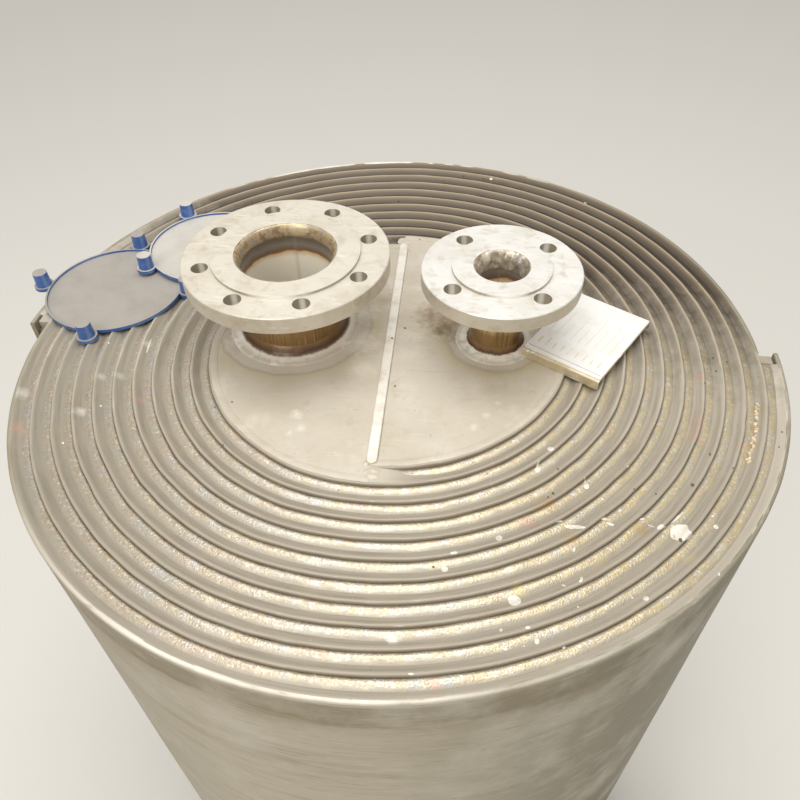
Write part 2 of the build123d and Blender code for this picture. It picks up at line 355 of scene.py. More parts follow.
def cover_with(tree, colour, roughness, metallic, height=None,
               grit=None, detail=3.0, deep=0.0, strength=1.0):
    """Ends a finish with its shader; a height, or grit of a size, is a bump as deep as given."""
    inputs = {"Base Color": colour, "Roughness": roughness, "Metallic": metallic}
    if grit is not None:
        height = add(tree, "ShaderNodeTexNoise", {**grains(tree, grit), "Detail": detail}).outputs[0]
    if height is not None:
        bump = add(tree, "ShaderNodeBump", {"Height": height, "Distance": deep, "Strength": strength})
        inputs["Normal"] = bump.outputs[0]
    shader = add(tree, "ShaderNodeBsdfPrincipled", inputs)
    add(tree, "ShaderNodeOutputMaterial", {"Surface": shader.outputs[0]})


def tinted_where(tree, colour, tint, value, start, full, strength=1.0):
    """Lays a tint over a colour as a value goes from start to full; each is a hex text or a socket."""
    mask = add(tree, "ShaderNodeMapRange", {0: value, 1: start, 2: full, 4: strength})
    lower, upper = [linear(c) if isinstance(c, str) else c for c in (colour, tint)]
    return add(tree, "ShaderNodeMix", {0: mask.outputs[0], LOWER: lower, UPPER: upper},
               data_type="RGBA").outputs[RESULT]


def stain(tree, colour, tint, size, start, full, strength=1.0):
    """Lays a tint over a colour in clouds of that size, where their noise is over start."""
    cloud = add(tree, "ShaderNodeTexNoise", {**grains(tree, size), "Detail": 6.0, "Roughness": 0.62})
    return tinted_where(tree, colour, tint, cloud.outputs[0], start, full, strength)


def frayed(tree, value, amount, size, detail=3.0, roughness=0.5):
    """Adds noise of up to that amount to a value, so that what is drawn over it has a ragged edge."""
    cloud = add(tree, "ShaderNodeTexNoise", {**grains(tree, size), "Detail": detail, "Roughness": roughness})
    return add(tree, "ShaderNodeMath", {0: cloud.outputs[0], 1: amount, 2: value},
               operation="MULTIPLY_ADD").outputs[0]


def ramp_over(tree, value, full, stops):
    """A colour ramp over a value in metres; its full length and its stops are in millimetres."""
    share = add(tree, "ShaderNodeMapRange", {0: value, 2: full * MM})
    return add(tree, "ShaderNodeValToRGB", {0: share.outputs[0]},
               stops=[(place / full, colour) for place, colour in stops]).outputs[0]


# %% [markdown]
# Places on the object are measured in five ways: bent round the axis, turned to a brush's strokes, as
# a distance from an upright line, as a depth below the nearer end of the body, and by how level the
# surface lies.

# %% Helpers for places
AXIS_REACH = 350 * MM        # a usual radius, at which a pattern's length along the winding holds


def round_the_axis(tree, along, across):
    """Object coordinates bent round the axis, in pattern sizes along and across the winding."""
    flat = add(tree, "ShaderNodeVectorMath", {0: object_place(tree), 1: (1, 1, 0)}, operation="MULTIPLY")
    radius = add(tree, "ShaderNodeVectorMath", {0: flat.outputs[0]}, operation="LENGTH")
    heading = add(tree, "ShaderNodeVectorMath", {0: flat.outputs[0]}, operation="NORMALIZE")
    height = add(tree, "ShaderNodeSeparateXYZ", {0: object_place(tree)})
    turned = add(tree, "ShaderNodeVectorMath", {0: heading.outputs[0], "Scale": AXIS_REACH / along},
                 operation="SCALE")
    reach = add(tree, "ShaderNodeMath", {0: radius.outputs["Value"], 1: height.outputs["Z"]})
    fine = add(tree, "ShaderNodeMath", {0: reach.outputs[0], 1: 1 / across}, operation="MULTIPLY")
    lift = add(tree, "ShaderNodeCombineXYZ", {2: fine.outputs[0]})
    return add(tree, "ShaderNodeVectorMath", {0: turned.outputs[0], 1: lift.outputs[0]}).outputs[0]


def brushed(tree, turn, along, across):
    """Object coordinates turned by that many degrees, in pattern sizes along and across the strokes."""
    return add(tree, "ShaderNodeMapping", {
        "Vector": object_place(tree), "Rotation": (0, 0, math.radians(turn)),
        "Scale": (1 / along, 1 / across, 1 / across)}).outputs[0]


def distance_from(tree, x, y):
    """Distance in metres from the upright line through x, y."""
    flat = add(tree, "ShaderNodeVectorMath", {0: object_place(tree), 1: (1, 1, 0)}, operation="MULTIPLY")
    return add(tree, "ShaderNodeVectorMath", {0: flat.outputs[0], 1: (x, y, 0)},
               operation="DISTANCE").outputs["Value"]


def end_depth(tree):
    """Depth in metres below the nearer end of the body, the same at the top and the bottom."""
    height = add(tree, "ShaderNodeSeparateXYZ", {0: object_place(tree)})
    offset = add(tree, "ShaderNodeMath", {0: height.outputs["Z"], 1: TOP / 2}, operation="SUBTRACT")
    away = add(tree, "ShaderNodeMath", {0: offset.outputs[0]}, operation="ABSOLUTE")
    return add(tree, "ShaderNodeMath", {0: TOP / 2, 1: away.outputs[0]}, operation="SUBTRACT").outputs[0]


def levelness(tree):
    """One where the surface faces straight up or down, nought where it is an upright wall."""
    normal = add(tree, "ShaderNodeSeparateXYZ", {0: add(tree, "ShaderNodeNewGeometry").outputs["Normal"]})
    return add(tree, "ShaderNodeMath", {0: normal.outputs["Z"]}, operation="ABSOLUTE").outputs[0]


# %% [markdown]
# Dirt and painted shade gather at the back and the right and lie deepest behind each plate; the near
# black there is painted shade. The left of the winding is a little duller. Single patches of tint are
# set one by one from the photograph.

# %% Dirt and patches
PATCH_GRAIN = 9 * MM
# Dirt and painted shade: these sizes and the trough ramp; the ramp's near black next to each plate is
# painted shade.
GRIME_GRAIN = 20 * MM
GRIME_FRAY = 0.20
GRIME_LEAN = 0.26            # how much a place to the right counts beside one to the back
TROUGH_DIRT = [(0.0, "#2e241c"), (12.4, "#352a20"), (15.2, "#524535"), (18.2, "#7a6b55"), (19.5, "#a89983")]


def patches(tree, colour, places):
    """Lays ragged soft patches over a colour; each place has a point, a radius, a tint and a strength."""
    cloud = add(tree, "ShaderNodeTexNoise", {**grains(tree, PATCH_GRAIN), "Detail": 7.0, "Roughness": 0.7})
    offset = add(tree, "ShaderNodeMath", {0: cloud.outputs[0], 1: 0.5}, operation="SUBTRACT")
    for point, radius, tint, strength in places:
        away = add(tree, "ShaderNodeVectorMath", {0: object_place(tree), 1: point}, operation="DISTANCE")
        ragged = add(tree, "ShaderNodeMath", {0: offset.outputs[0], 1: 2 * radius, 2: away.outputs["Value"]},
                     operation="MULTIPLY_ADD")
        colour = tinted_where(tree, colour, tint, ragged.outputs[0], 1.1 * radius, 0.0, strength)
    return colour


def grime(tree, colour, dirt):
    """Brown dirt and painted shade, a colour or a socket, that thicken toward the back and the right."""
    place = add(tree, "ShaderNodeSeparateXYZ", {0: object_place(tree)})
    lean = add(tree, "ShaderNodeMath", {0: place.outputs["X"], 1: GRIME_LEAN, 2: place.outputs["Y"]},
               operation="MULTIPLY_ADD")
    ragged = frayed(tree, lean.outputs[0], GRIME_FRAY, GRIME_GRAIN, 8.0, 0.7)
    return tinted_where(tree, colour, dirt, ragged, 0.12, 0.31, 0.92)


def dimmed_left(tree, colour):
    """The left of the winding is a little duller than the rest."""
    place = add(tree, "ShaderNodeSeparateXYZ", {0: object_place(tree)})
    return tinted_where(tree, colour, "#7d7466", place.outputs["X"], -0.10, -0.30, 0.30)


def trough_dirt(tree):
    """Dirt and painted shade: nearly black behind each plate, as painted shade, and light brown where the
    strip meets the next one.
    """
    out = add(tree, "ShaderNodeAttribute", attribute_name="out")
    return ramp_over(tree, out.outputs["Fac"], 20, TROUGH_DIRT)


# %% [markdown]
# Heat and rust left single tints on the winding. Each is a pixel, a size in millimetres and a colour,
# and lies a little below the plates' edges, where the strips and beads are.

# %% Tints that the photograph shows on the winding
ROSE = "#c9a08f"
RUST_RED = "#9c4f35"
STRAW = "#c9bb88"
SILVER = "#ece8df"
STEEL_BLUE = "#a6b2ba"
OCHRE = "#b3935c"
WINDING_MARKS = [
    (678, 350, 6, ROSE), (679, 364, 6, ROSE), (699, 378, 8, ROSE), (700, 420, 9, ROSE), (695, 438, 9, ROSE),
    (740, 448, 7, ROSE), (697, 430, 7, ROSE), (750, 347, 6, STRAW),
    (757, 410, 6, OCHRE), (755, 428, 6, OCHRE), (752, 446, 6, OCHRE), (748, 461, 6, OCHRE),
    (80, 412, 8, SILVER), (141, 400, 8, ROSE), (100, 378, 6, SILVER), (119, 377, 6, SILVER),
    (148, 345, 6, SILVER), (22, 394, 9, SILVER), (16, 430, 12, ROSE),
    (485, 180, 9, RUST_RED), (502, 184, 9, RUST_RED), (572, 214, 9, RUST_RED), (548, 232, 8, RUST_RED),
    (520, 188, 6, RUST_RED), (432, 193, 13, STEEL_BLUE), (600, 206, 5, OCHRE), (624, 222, 6, OCHRE),
    (415, 683, 7, STEEL_BLUE), (436, 684, 7, ROSE), (449, 681, 6, STEEL_BLUE), (392, 641, 6, SILVER),
    (545, 505, 12, OCHRE), (572, 540, 9, OCHRE), (520, 590, 8, STRAW), (690, 560, 7, STRAW),
    (530, 523, 9, ROSE), (640, 530, 8, OCHRE), (600, 560, 7, STRAW), (668, 566, 5, OCHRE)]
MARK_DEPTH = 4 * MM
MARK_STRENGTH = 0.6
winding_patches = [(on_level(px, py, TOP - MARK_DEPTH), size * MM, tint, MARK_STRENGTH)
                   for px, py, size, tint in WINDING_MARKS]
print(len(winding_patches), "tinted patches")

# %% [markdown]
# ### The plate edges
# Hot-rolled stainless plate, sheared and then rounded by a flap disc. The grinding leaves a light
# satin lip; the face below it keeps the brown oxide that welding drew, and its darkening toward the
# foot is painted shade, as is the near black there at the back and the right.

# %% Ground plate edge
PALE_EDGE = [(0.0, "#c0b7a9"), (2.0, "#b9b0a2"), (5.0, "#aea594"), (9.0, "#8f8575")]
# painted shade: the darkening of these ramps toward the face's foot, and the dirt ramp's near black; the
# brown is oxide.
SCORCHED_EDGE = [(0.0, "#b4ab9c"), (1.0, "#aaa191"), (2.2, "#978d7c"), (4.0, "#867c6b"), (5.0, "#8b7353"),
                 (7.0, "#6e6250")]
EDGE_DIRT = [(0.0, "#a89983"), (1.4, "#8c7d67"), (3.4, "#382c23")]


def ground_plate_edge():
    material, tree = new_finish("ground stainless plate edge")
    depth = end_depth(tree)
    place = add(tree, "ShaderNodeSeparateXYZ", {0: object_place(tree)})
    out = add(tree, "ShaderNodeAttribute", attribute_name="out")
    pale = ramp_over(tree, depth, 10, PALE_EDGE)
    pale = tinted_where(tree, pale, "#a19888", place.outputs["Y"], -0.04, -0.20, 0.75)
    scorched = ramp_over(tree, depth, 10, SCORCHED_EDGE)
    dirt = ramp_over(tree, depth, 10, EDGE_DIRT)
    colour = tinted_where(tree, pale, scorched, out.outputs["Fac"], 0.2 * HALF, 0.9 * HALF)
    colour = stain(tree, colour, "#a09381", round_the_axis(tree, 60 * MM, 3 * MM), 0.54, 0.76)
    colour = stain(tree, colour, "#e6e0d6", round_the_axis(tree, 25 * MM, 1.2 * MM), 0.62, 0.76, 0.5)
    colour = grime(tree, patches(tree, colour, winding_patches), dirt)
    cover_with(tree, colour, 0.56, 0.2, grit=1.2 * MM, deep=0.1 * MM, strength=0.3)
    return material


edge = ground_plate_edge()

# %% [markdown]
# ### The weld beads
# The strip between two plates is welded along the outer foot of each plate. The bead is bright and
# finely rippled, and the heat leaves straw, gold, rose and blue films on it; its near-white specks are
# painted highlight. The ripples are a sine along the bead that lags behind at its sides; most of the
# roughness is grit, as on a hand weld.

# %% Weld bead
RIPPLE = 2.6 * MM
RIPPLE_SHARE = 0.025
RIPPLE_LAG = 180.0           # how fast the ripples lag behind with the square of the way to the side
RIPPLE_MIDDLE = 6.5 * MM
TINT_MIDDLE = 10.2 * MM
RIGHTWARD = (0.02, 0.20, 0.85)  # where the right side's tones start and are full, and their strength
HEAT_HUES = [(0.30, "#bdbcb6"), (0.40, "#bfb9ae"), (0.48, "#c2baa9"), (0.54, "#c3b59b"), (0.60, "#c3b3a5"),
             (0.66, "#bdbab4"), (0.76, "#ccc7bc")]


def bead_ripples(tree, out):
    """The height of a bead's ripples and grit; out is the place across the bead."""
    length = add(tree, "ShaderNodeAttribute", attribute_name="along")
    bow = add(tree, "ShaderNodeMath", {0: out, 1: RIPPLE_MIDDLE}, operation="SUBTRACT")
    bowed = add(tree, "ShaderNodeMath", {0: bow.outputs[0], 1: 2.0}, operation="POWER")
    lag = add(tree, "ShaderNodeMath", {0: bowed.outputs[0], 1: RIPPLE_LAG}, operation="MULTIPLY")
    reach = add(tree, "ShaderNodeMath", {0: length.outputs["Fac"], 1: lag.outputs[0]})
    phase = add(tree, "ShaderNodeMath", {0: reach.outputs[0], 1: math.tau / RIPPLE}, operation="MULTIPLY")
    wave = add(tree, "ShaderNodeMath", {0: phase.outputs[0]}, operation="SINE")
    grit = add(tree, "ShaderNodeTexNoise", {**grains(tree, 2 * MM), "Detail": 6.0})
    return add(tree, "ShaderNodeMath", {0: wave.outputs[0], 1: RIPPLE_SHARE, 2: grit.outputs[0]},
               operation="MULTIPLY_ADD").outputs[0]


def heat_tinted_bead():
    material, tree = new_finish("heat-tinted weld bead")
    hue = add(tree, "ShaderNodeTexNoise", {**grains(tree, 30 * MM), "Detail": 5.0, "Roughness": 0.7})
    colour = add(tree, "ShaderNodeValToRGB", {0: hue.outputs[0]}, stops=HEAT_HUES).outputs[0]
    colour = stain(tree, colour, "#8f836f", 2.6 * MM, 0.54, 0.66, 0.6)
    # painted highlight: the near-white specks stand in for broken glints on the bead.
    colour = stain(tree, colour, "#fbf8f1", 2.8 * MM, 0.54, 0.66, 0.6)
    out = add(tree, "ShaderNodeAttribute", attribute_name="out").outputs["Fac"]
    swayed = frayed(tree, out, 7 * MM, 22 * MM)
    middle = add(tree, "ShaderNodeMath", {0: swayed, 1: TINT_MIDDLE}, operation="SUBTRACT")
    aside = add(tree, "ShaderNodeMath", {0: middle.outputs[0]}, operation="ABSOLUTE")
    flank = add(tree, "ShaderNodeMapRange", {0: aside.outputs[0], 1: 1.6 * MM, 2: 3.4 * MM})
    to_the_right = add(tree, "ShaderNodeSeparateXYZ", {0: object_place(tree)}).outputs["X"]
    start, full, strength = RIGHTWARD
    rightward = add(tree, "ShaderNodeMapRange", {0: to_the_right, 1: start, 2: full, 4: strength})
    narrow = add(tree, "ShaderNodeMath", {0: flank.outputs[0], 1: rightward.outputs[0]},
                 operation="MULTIPLY")
    washed = add(tree, "ShaderNodeMapRange", {0: middle.outputs[0], 1: 1.2 * MM, 2: 4 * MM})
    plain = add(tree, "ShaderNodeMath", {0: narrow.outputs[0], 1: washed.outputs[0]}, operation="MAXIMUM")
    straw = stain(tree, colour, "#c9b783", 5 * MM, 0.42, 0.58, 0.8)
    colour = tinted_where(tree, colour, straw, to_the_right, *RIGHTWARD)
    greys = tinted_where(tree, "#b0a89a", "#a29a8b", to_the_right, *RIGHTWARD)
    colour = tinted_where(tree, colour, greys, plain.outputs[0], 0.0, 1.0)
    colour = dimmed_left(tree, colour)
    colour = grime(tree, patches(tree, colour, winding_patches), trough_dirt(tree))
    dull = add(tree, "ShaderNodeMapRange", {0: plain.outputs[0], 3: 0.32, 4: 0.50})
    metal = add(tree, "ShaderNodeMapRange", {0: plain.outputs[0], 3: 0.5, 4: 0.3})
    cover_with(tree, colour, dull.outputs[0], metal.outputs[0], bead_ripples(tree, out),
               deep=0.75 * MM, strength=0.7)
    return material


bead = heat_tinted_bead()

# %% [markdown]
# ### The strips
# Cold-rolled plate with a pickled, matt grey skin. Grinding dust, oil and flash rust lie on it. The
# skin is paler on the outermost turn and where the strip joins the covers.

# %% Pickled strips
OUTERMOST = (0.396, 0.408)
JOINED = (70 * MM, 15 * MM)


def pickled_strip():
    material, tree = new_finish("pickled stainless strip")
    colour = stain(tree, "#b9b1a3", "#a79e8d", round_the_axis(tree, 80 * MM, 5 * MM), 0.42, 0.66)
    colour = stain(tree, colour, "#bbb2a0", 60 * MM, 0.52, 0.70)
    colour = stain(tree, colour, "#7b6f5f", 3 * MM, 0.66, 0.74)
    colour = dimmed_left(tree, colour)
    colour = tinted_where(tree, colour, "#d8d0c2", distance_from(tree, 0, 0), *OUTERMOST, 0.6)
    along = add(tree, "ShaderNodeAttribute", attribute_name="along")
    colour = tinted_where(tree, colour, "#cbc3b4", along.outputs["Fac"], *JOINED)
    colour = grime(tree, patches(tree, colour, winding_patches), trough_dirt(tree))
    cover_with(tree, colour, 0.50, 0.3, grit=1.6 * MM, detail=4.0, deep=0.1 * MM, strength=0.3)
    return material


strip = pickled_strip()

# %% [markdown]
# ### The covers
# The covers are the same pickled plate with crossing grinding strokes. Welding drew a halo of straw
# and grey round each nozzle, so a ramp over the distance from the nozzle's axis paints it; round the
# larger nozzle its inner part is painted paler, as painted light against the flange's shade. A smoky
# stain lies to the left of the smaller nozzle. Patches paint shadow left of the larger nozzle and
# light beside the divider.

# %% Pickled covers
LEFT_NOZZLE = (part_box("left_nozzle_pipe")[0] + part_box("left_nozzle_pipe")[1]) / 2
RIGHT_NOZZLE = (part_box("right_nozzle_pipe")[0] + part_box("right_nozzle_pipe")[1]) / 2
# painted light: the halo's first two stops round the larger nozzle are paler than the cover, against the
# flange's shade.
HALO_LEFT = [(73, "#ebe4d8"), (83, "#e2dacc"), (86.5, "#beb39e"), (89.5, "#d8cdb0"), (97, "#d6ccae"),
             (110, "#d0c8ba")]
HALO_RIGHT = [(44, "#dcd4c6"), (50, "#d0c7b8"), (53, "#b5a98f"), (57, "#cdc09c"), (64, "#d2c7a5"),
              (76, "#d0c8ba")]
HALO_FRAY = 7 * MM
COVER_MARKS = [
    (296, 414, 7, SILVER, 0.8), (300, 428, 6, SILVER, 0.8), (289, 433, 4, SILVER, 0.6),
    (550, 446, 6, SILVER, 0.7), (536, 468, 5, SILVER, 0.6), (486, 415, 5, SILVER, 0.5),
    (474, 427, 5, SILVER, 0.5), (498, 403, 4, SILVER, 0.5), (432, 314, 24, "#8f795a", 0.8),
    (447, 326, 26, "#8c7557", 0.8), (462, 338, 16, "#80694c", 0.7), (441, 331, 10, "#66533d", 0.7),
    # painted shadow: the next three dark brown patches, under the left side of the larger nozzle's flange.
    (226, 326, 28, "#7d6849", 0.45), (205, 318, 22, "#6d5940", 0.6), (243, 345, 14, "#8c7657", 0.3),
    # painted light: the near-white patches from (360, 312) on, beside the divider, take out the flange's
    # shade.
    (386, 300, 12, "#92795a", 0.4), (360, 312, 22, "#fbf6ea", 0.85), (360, 340, 24, "#fbf6ea", 0.85),
    (362, 368, 20, "#f2ebde", 0.6)]


def pickled_cover(name, marked=False):
    material, tree = new_finish(name)
    colour = stain(tree, "#d0c8ba", "#c3b9a6", 90 * MM, 0.42, 0.68)
    colour = stain(tree, colour, "#d9d2c5", 40 * MM, 0.52, 0.74)
    colour = stain(tree, colour, "#b8ad9a", 16 * MM, 0.58, 0.76, 0.6)
    colour = stain(tree, colour, "#aea28e", brushed(tree, 24, 70 * MM, 2 * MM), 0.62, 0.72, 0.45)
    colour = stain(tree, colour, "#ebe6dc", brushed(tree, -50, 40 * MM, 1.5 * MM), 0.62, 0.72, 0.45)
    colour = stain(tree, colour, "#9b9080", 3.6 * MM, 0.66, 0.74)
    if marked:
        for centre, halo in ((LEFT_NOZZLE, HALO_LEFT), (RIGHT_NOZZLE, HALO_RIGHT)):
            reach = frayed(tree, distance_from(tree, centre.x, centre.y), HALO_FRAY, 14 * MM)
            ragged = add(tree, "ShaderNodeMath", {0: reach, 1: HALO_FRAY / 2},
                         operation="SUBTRACT").outputs[0]
            last = halo[-1][0]
            fades_from = halo[-3][0]
            tint = ramp_over(tree, ragged, last, halo)
            colour = tinted_where(tree, colour, tint, ragged, last * MM, fades_from * MM, 0.6)
        colour = patches(tree, colour, [(on_level(px, py, TOP), size * MM, tint, strength)
                                        for px, py, size, tint, strength in COVER_MARKS])
    cover_with(tree, colour, 0.50, 0.25, grit=1.8 * MM, detail=4.0, deep=0.1 * MM, strength=0.25)
    return material


cover = pickled_cover("pickled stainless cover")
top_cover = pickled_cover("pickled stainless cover, heat marked", marked=True)

# %% [markdown]
# ### The shell
# The last half turn of each plate is thicker and rolled. Its ground lip is nearly white; below it runs
# a band of weld scorch, then bare plate with rolling dashes and pale clouds of dried water. A line of
# sight meets the shell as a ray meets a cylinder, which places the marks that the photograph shows.

# %% Rolled shell
SCORCH_BAND = [(0.0, "#958a74"), (42, "#968b75"), (56, "#8c7d60"), (61, "#a89d88"), (82, "#bab09c"),
               (110, "#bbb29f")]
SHELL_LIP = [(0.0, "#f0eade"), (1.8, "#e6dfd2"), (3.4, "#b0a58f"), (4.6, "#c6bda9"), (7.0, "#9d927c")]
SHELL_MARKS = [
    (128, 690, 36, "#c6bfb0", 0.45), (140, 656, 8, SILVER, 0.5), (146, 661, 5, SILVER, 0.5),
    (140, 680, 10, SILVER, 0.4), (540, 706, 14, "#8d7a55", 0.5), (590, 700, 16, "#857350", 0.5),
    (640, 692, 12, "#8a7650", 0.5), (660, 684, 8, "#6f5f45", 0.5), (690, 655, 10, "#85734f", 0.5)]


def on_shell(px, py):
    """The point on the outside of the shell that the pixel shows."""
    ray = sight(px, py)
    flat = ray.to_2d()
    start = CAMERA_PLACE.to_2d()
    middle = flat.dot(start) / flat.length_squared
    reach = math.sqrt(middle ** 2 - (start.length_squared - SHELL_RADIUS ** 2) / flat.length_squared)
    return CAMERA_PLACE + ray * (-middle - reach)


def rolled_shell():
    material, tree = new_finish("rolled stainless shell")
    smear = round_the_axis(tree, 150 * MM, 24 * MM)
    band = ramp_over(tree, frayed(tree, end_depth(tree), 36 * MM, smear), 120, SCORCH_BAND)
    lip = ramp_over(tree, end_depth(tree), 12, SHELL_LIP)
    colour = tinted_where(tree, band, lip, end_depth(tree), 12 * MM, 6 * MM)
    colour = stain(tree, colour, "#a39880", smear, 0.50, 0.74)
    place = add(tree, "ShaderNodeSeparateXYZ", {0: object_place(tree)})
    # painted shade: the shell is darkened toward its right side, and also toward its left side.
    colour = tinted_where(tree, colour, "#7b745e", place.outputs["X"], 0.02, 0.26, 0.88)
    colour = tinted_where(tree, colour, "#8a7f67", place.outputs["X"], -0.12, -0.34, 0.85)
    colour = patches(tree, colour, [(on_shell(px, py), size * MM, tint, strength)
                                    for px, py, size, tint, strength in SHELL_MARKS])
    colour = stain(tree, colour, "#c9c2b4", 140 * MM, 0.50, 0.76)
    colour = stain(tree, colour, "#867b67", round_the_axis(tree, 26 * MM, 2.6 * MM), 0.57, 0.70, 0.6)
    colour = stain(tree, colour, "#ddd8cd", round_the_axis(tree, 34 * MM, 2.2 * MM), 0.60, 0.72, 0.55)
    colour = stain(tree, colour, "#7f745f", 12 * MM, 0.66, 0.76, 0.6)
    cover_with(tree, colour, 0.52, 0.22, grit=round_the_axis(tree, 30 * MM, 1.4 * MM), detail=4.0,
               deep=0.08 * MM, strength=0.3)
    return material


shell = rolled_shell()

# %% [markdown]
# ### The flanges
# The flanges are turned stainless, almost white, with a fine turning lay, so the bump is a sine over
# the distance from the axis. Handling left short strokes on them. A bolt hole's wall is painted grey as
# shade, with one painted highlight, a bright streak, which a test of the surface's direction paints
# inside the rim only. Outside the rim the upright walls take a tan painted shade.

# %% Turned flanges
TURNING_LAY = 1.2 * MM
RIM = 3 * MM
HOLE_FRONT = (0.12, -0.99, 0)
flange_centres = {}
for side in ("left", "right"):
    low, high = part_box(side + "_nozzle_flange")
    flange_centres[side] = (low + high) / 2
print("flange centres", [tuple(round(c / MM, 1) for c in centre) for centre in flange_centres.values()])


def streak_in_holes(tree, colour):
    """A hole's wall is painted grey as shade, with one painted highlight where it faces the front."""
    normal = add(tree, "ShaderNodeNewGeometry").outputs["Normal"]
    toward = add(tree, "ShaderNodeVectorMath", {0: normal, 1: HOLE_FRONT}, operation="DOT_PRODUCT")
    # painted shade: upright walls inside the rim are grey; painted highlight where they face the front.
    tone = tinted_where(tree, "#b3ab9a", "#fbf8f1", toward.outputs["Value"], 0.90, 0.995)
    return tinted_where(tree, colour, tone, levelness(tree), 0.4, 0.2)


def turned_flange(side, outside, pale, shade, warmth):
    material, tree = new_finish("turned stainless flange, " + side)
    centre = flange_centres[side]
    reach = distance_from(tree, centre.x, centre.y)
    colour = stain(tree, pale, shade, 40 * MM, 0.42, 0.66)
    colour = stain(tree, colour, "#bdb098", 14 * MM, 0.52, 0.72, 0.6)
    colour = stain(tree, colour, "#b6a98f", brushed(tree, 62, 26 * MM, 5 * MM), 0.59, 0.70, 0.4)
    colour = stain(tree, colour, "#fbf9f4", brushed(tree, -40, 34 * MM, 6 * MM), 0.58, 0.70, 0.5)
    colour = stain(tree, colour, "#b3a994", brushed(tree, 80, 16 * MM, 0.8 * MM), 0.64, 0.72, 0.6)
    inside = add(tree, "ShaderNodeMath", {0: reach, 1: outside - RIM}, operation="LESS_THAN")
    colour = tinted_where(tree, colour, streak_in_holes(tree, colour), inside.outputs[0], 0.0, 1.0)
    # painted shade: upright walls outside the rim are tinted tan, as far as the last argument says.
    wall = add(tree, "ShaderNodeMapRange", {0: levelness(tree), 1: 0.5, 2: 0.2, 4: warmth})
    outer = add(tree, "ShaderNodeMath", {0: reach, 1: outside - RIM}, operation="GREATER_THAN")
    warm = add(tree, "ShaderNodeMath", {0: wall.outputs[0], 1: outer.outputs[0]}, operation="MULTIPLY")
    colour = tinted_where(tree, colour, "#b8a888", warm.outputs[0], 0.0, 1.0)
    lay = add(tree, "ShaderNodeMath", {0: reach, 1: math.tau / TURNING_LAY}, operation="MULTIPLY")
    rings = add(tree, "ShaderNodeMath", {0: lay.outputs[0]}, operation="SINE")
    cover_with(tree, colour, 0.42, 0.3, rings.outputs[0], deep=0.02 * MM, strength=0.5)
    return material


def side_flange():
    material, tree = new_finish("turned stainless side flange")
    colour = stain(tree, "#e0dbd0", "#c2bbac", 30 * MM, 0.46, 0.66)
    cover_with(tree, colour, 0.36, 0.85, grit=1.4 * MM, deep=0.05 * MM, strength=0.4)
    return material


# %% [markdown]
# ### The pipes and their welds
# The pipes under the flanges took the heat of two welds. Outside they are streaked bronze. Inside, a
# grey band and a brown line lie below the upper weld, and the rest of the bore is pale steel painted
# near white, as painted light for the light that reaches into it. A fillet is red-brown where it is
# steep and silvery with rose and blue films on its flat toe, whose near-white tones are partly painted
# highlight. The bead inside the flange is burnt to cloudy browns and greys with gold specks.

# %% Pipes and nozzle welds
PIPE_OUTSIDE = [(0.0, "#8f7049"), (12, "#8f7049"), (18, "#97784e"), (26, "#a08358")]
PIPE_OUTSIDE_TOP = [(70, "#a08a62"), (85, "#84745c")]
# painted light: the near-white tones low in the bore stand in for light that reaches into it.
PIPE_INSIDE = [(0.0, "#fbf5e8"), (60, "#fbf4e3"), (65.5, "#e3c79b"), (68, "#8c5c38"), (70.5, "#7d6b5b"),
               (76, "#8b857a"), (82, "#756a5c")]
STEEP_TONES = [(0.0, "#8f7049"), (0.30, "#7c5d3f"), (0.65, "#553d2b"), (1.0, "#7d6146")]
# The near-white flat tones are partly painted highlight, for glints on the toe.
FLAT_TONES = [(0.20, "#eee6d8"), (0.50, "#f8f2e7"), (0.66, "#eee7da"), (0.80, "#d8cfc0"), (0.92, "#d8d0c1"),
              (1.00, "#e2dacd")]
BURNT_PLACES = (0.30, 0.42, 0.50, 0.58, 0.68)


def tinted_pipe(side, centre, bore, middle):
    """Bronze outside, with the middle tone half way up; pale inside, painted near white low in the bore as
    painted light, with a seam down the bore.
    """
    material, tree = new_finish("heat-tinted stainless pipe, " + side)
    place = add(tree, "ShaderNodeSeparateXYZ", {0: object_place(tree)})
    above = add(tree, "ShaderNodeMath", {0: place.outputs["Z"], 1: TOP}, operation="SUBTRACT").outputs[0]
    outer = ramp_over(tree, above, 90, PIPE_OUTSIDE + [(36, middle), (50, middle)] + PIPE_OUTSIDE_TOP)
    outer = stain(tree, outer, "#6d5230", round_the_axis(tree, 3 * MM, 60 * MM), 0.48, 0.70)
    outer = stain(tree, outer, "#c9b384", round_the_axis(tree, 2 * MM, 80 * MM), 0.60, 0.74)
    inner = ramp_over(tree, frayed(tree, above, 6 * MM, 12 * MM), 100, PIPE_INSIDE)
    seam = add(tree, "ShaderNodeMath", {0: place.outputs["X"], 1: centre.x - 0.04 * bore},
               operation="SUBTRACT")
    aside = add(tree, "ShaderNodeMath", {0: seam.outputs[0]}, operation="ABSOLUTE")
    inner = tinted_where(tree, inner, "#a89c86", aside.outputs[0], 0.07 * bore, 0.0, 0.30)
    inside = add(tree, "ShaderNodeMath", {0: distance_from(tree, centre.x, centre.y), 1: bore + 1 * MM},
                 operation="LESS_THAN")
    colour = tinted_where(tree, outer, inner, inside.outputs[0], 0.0, 1.0)
    shine = add(tree, "ShaderNodeMapRange", {0: inside.outputs[0], 3: 0.6, 4: 0.0})
    cover_with(tree, colour, 0.34, shine.outputs[0], grit=1.6 * MM, deep=0.05 * MM, strength=0.4)
    return material


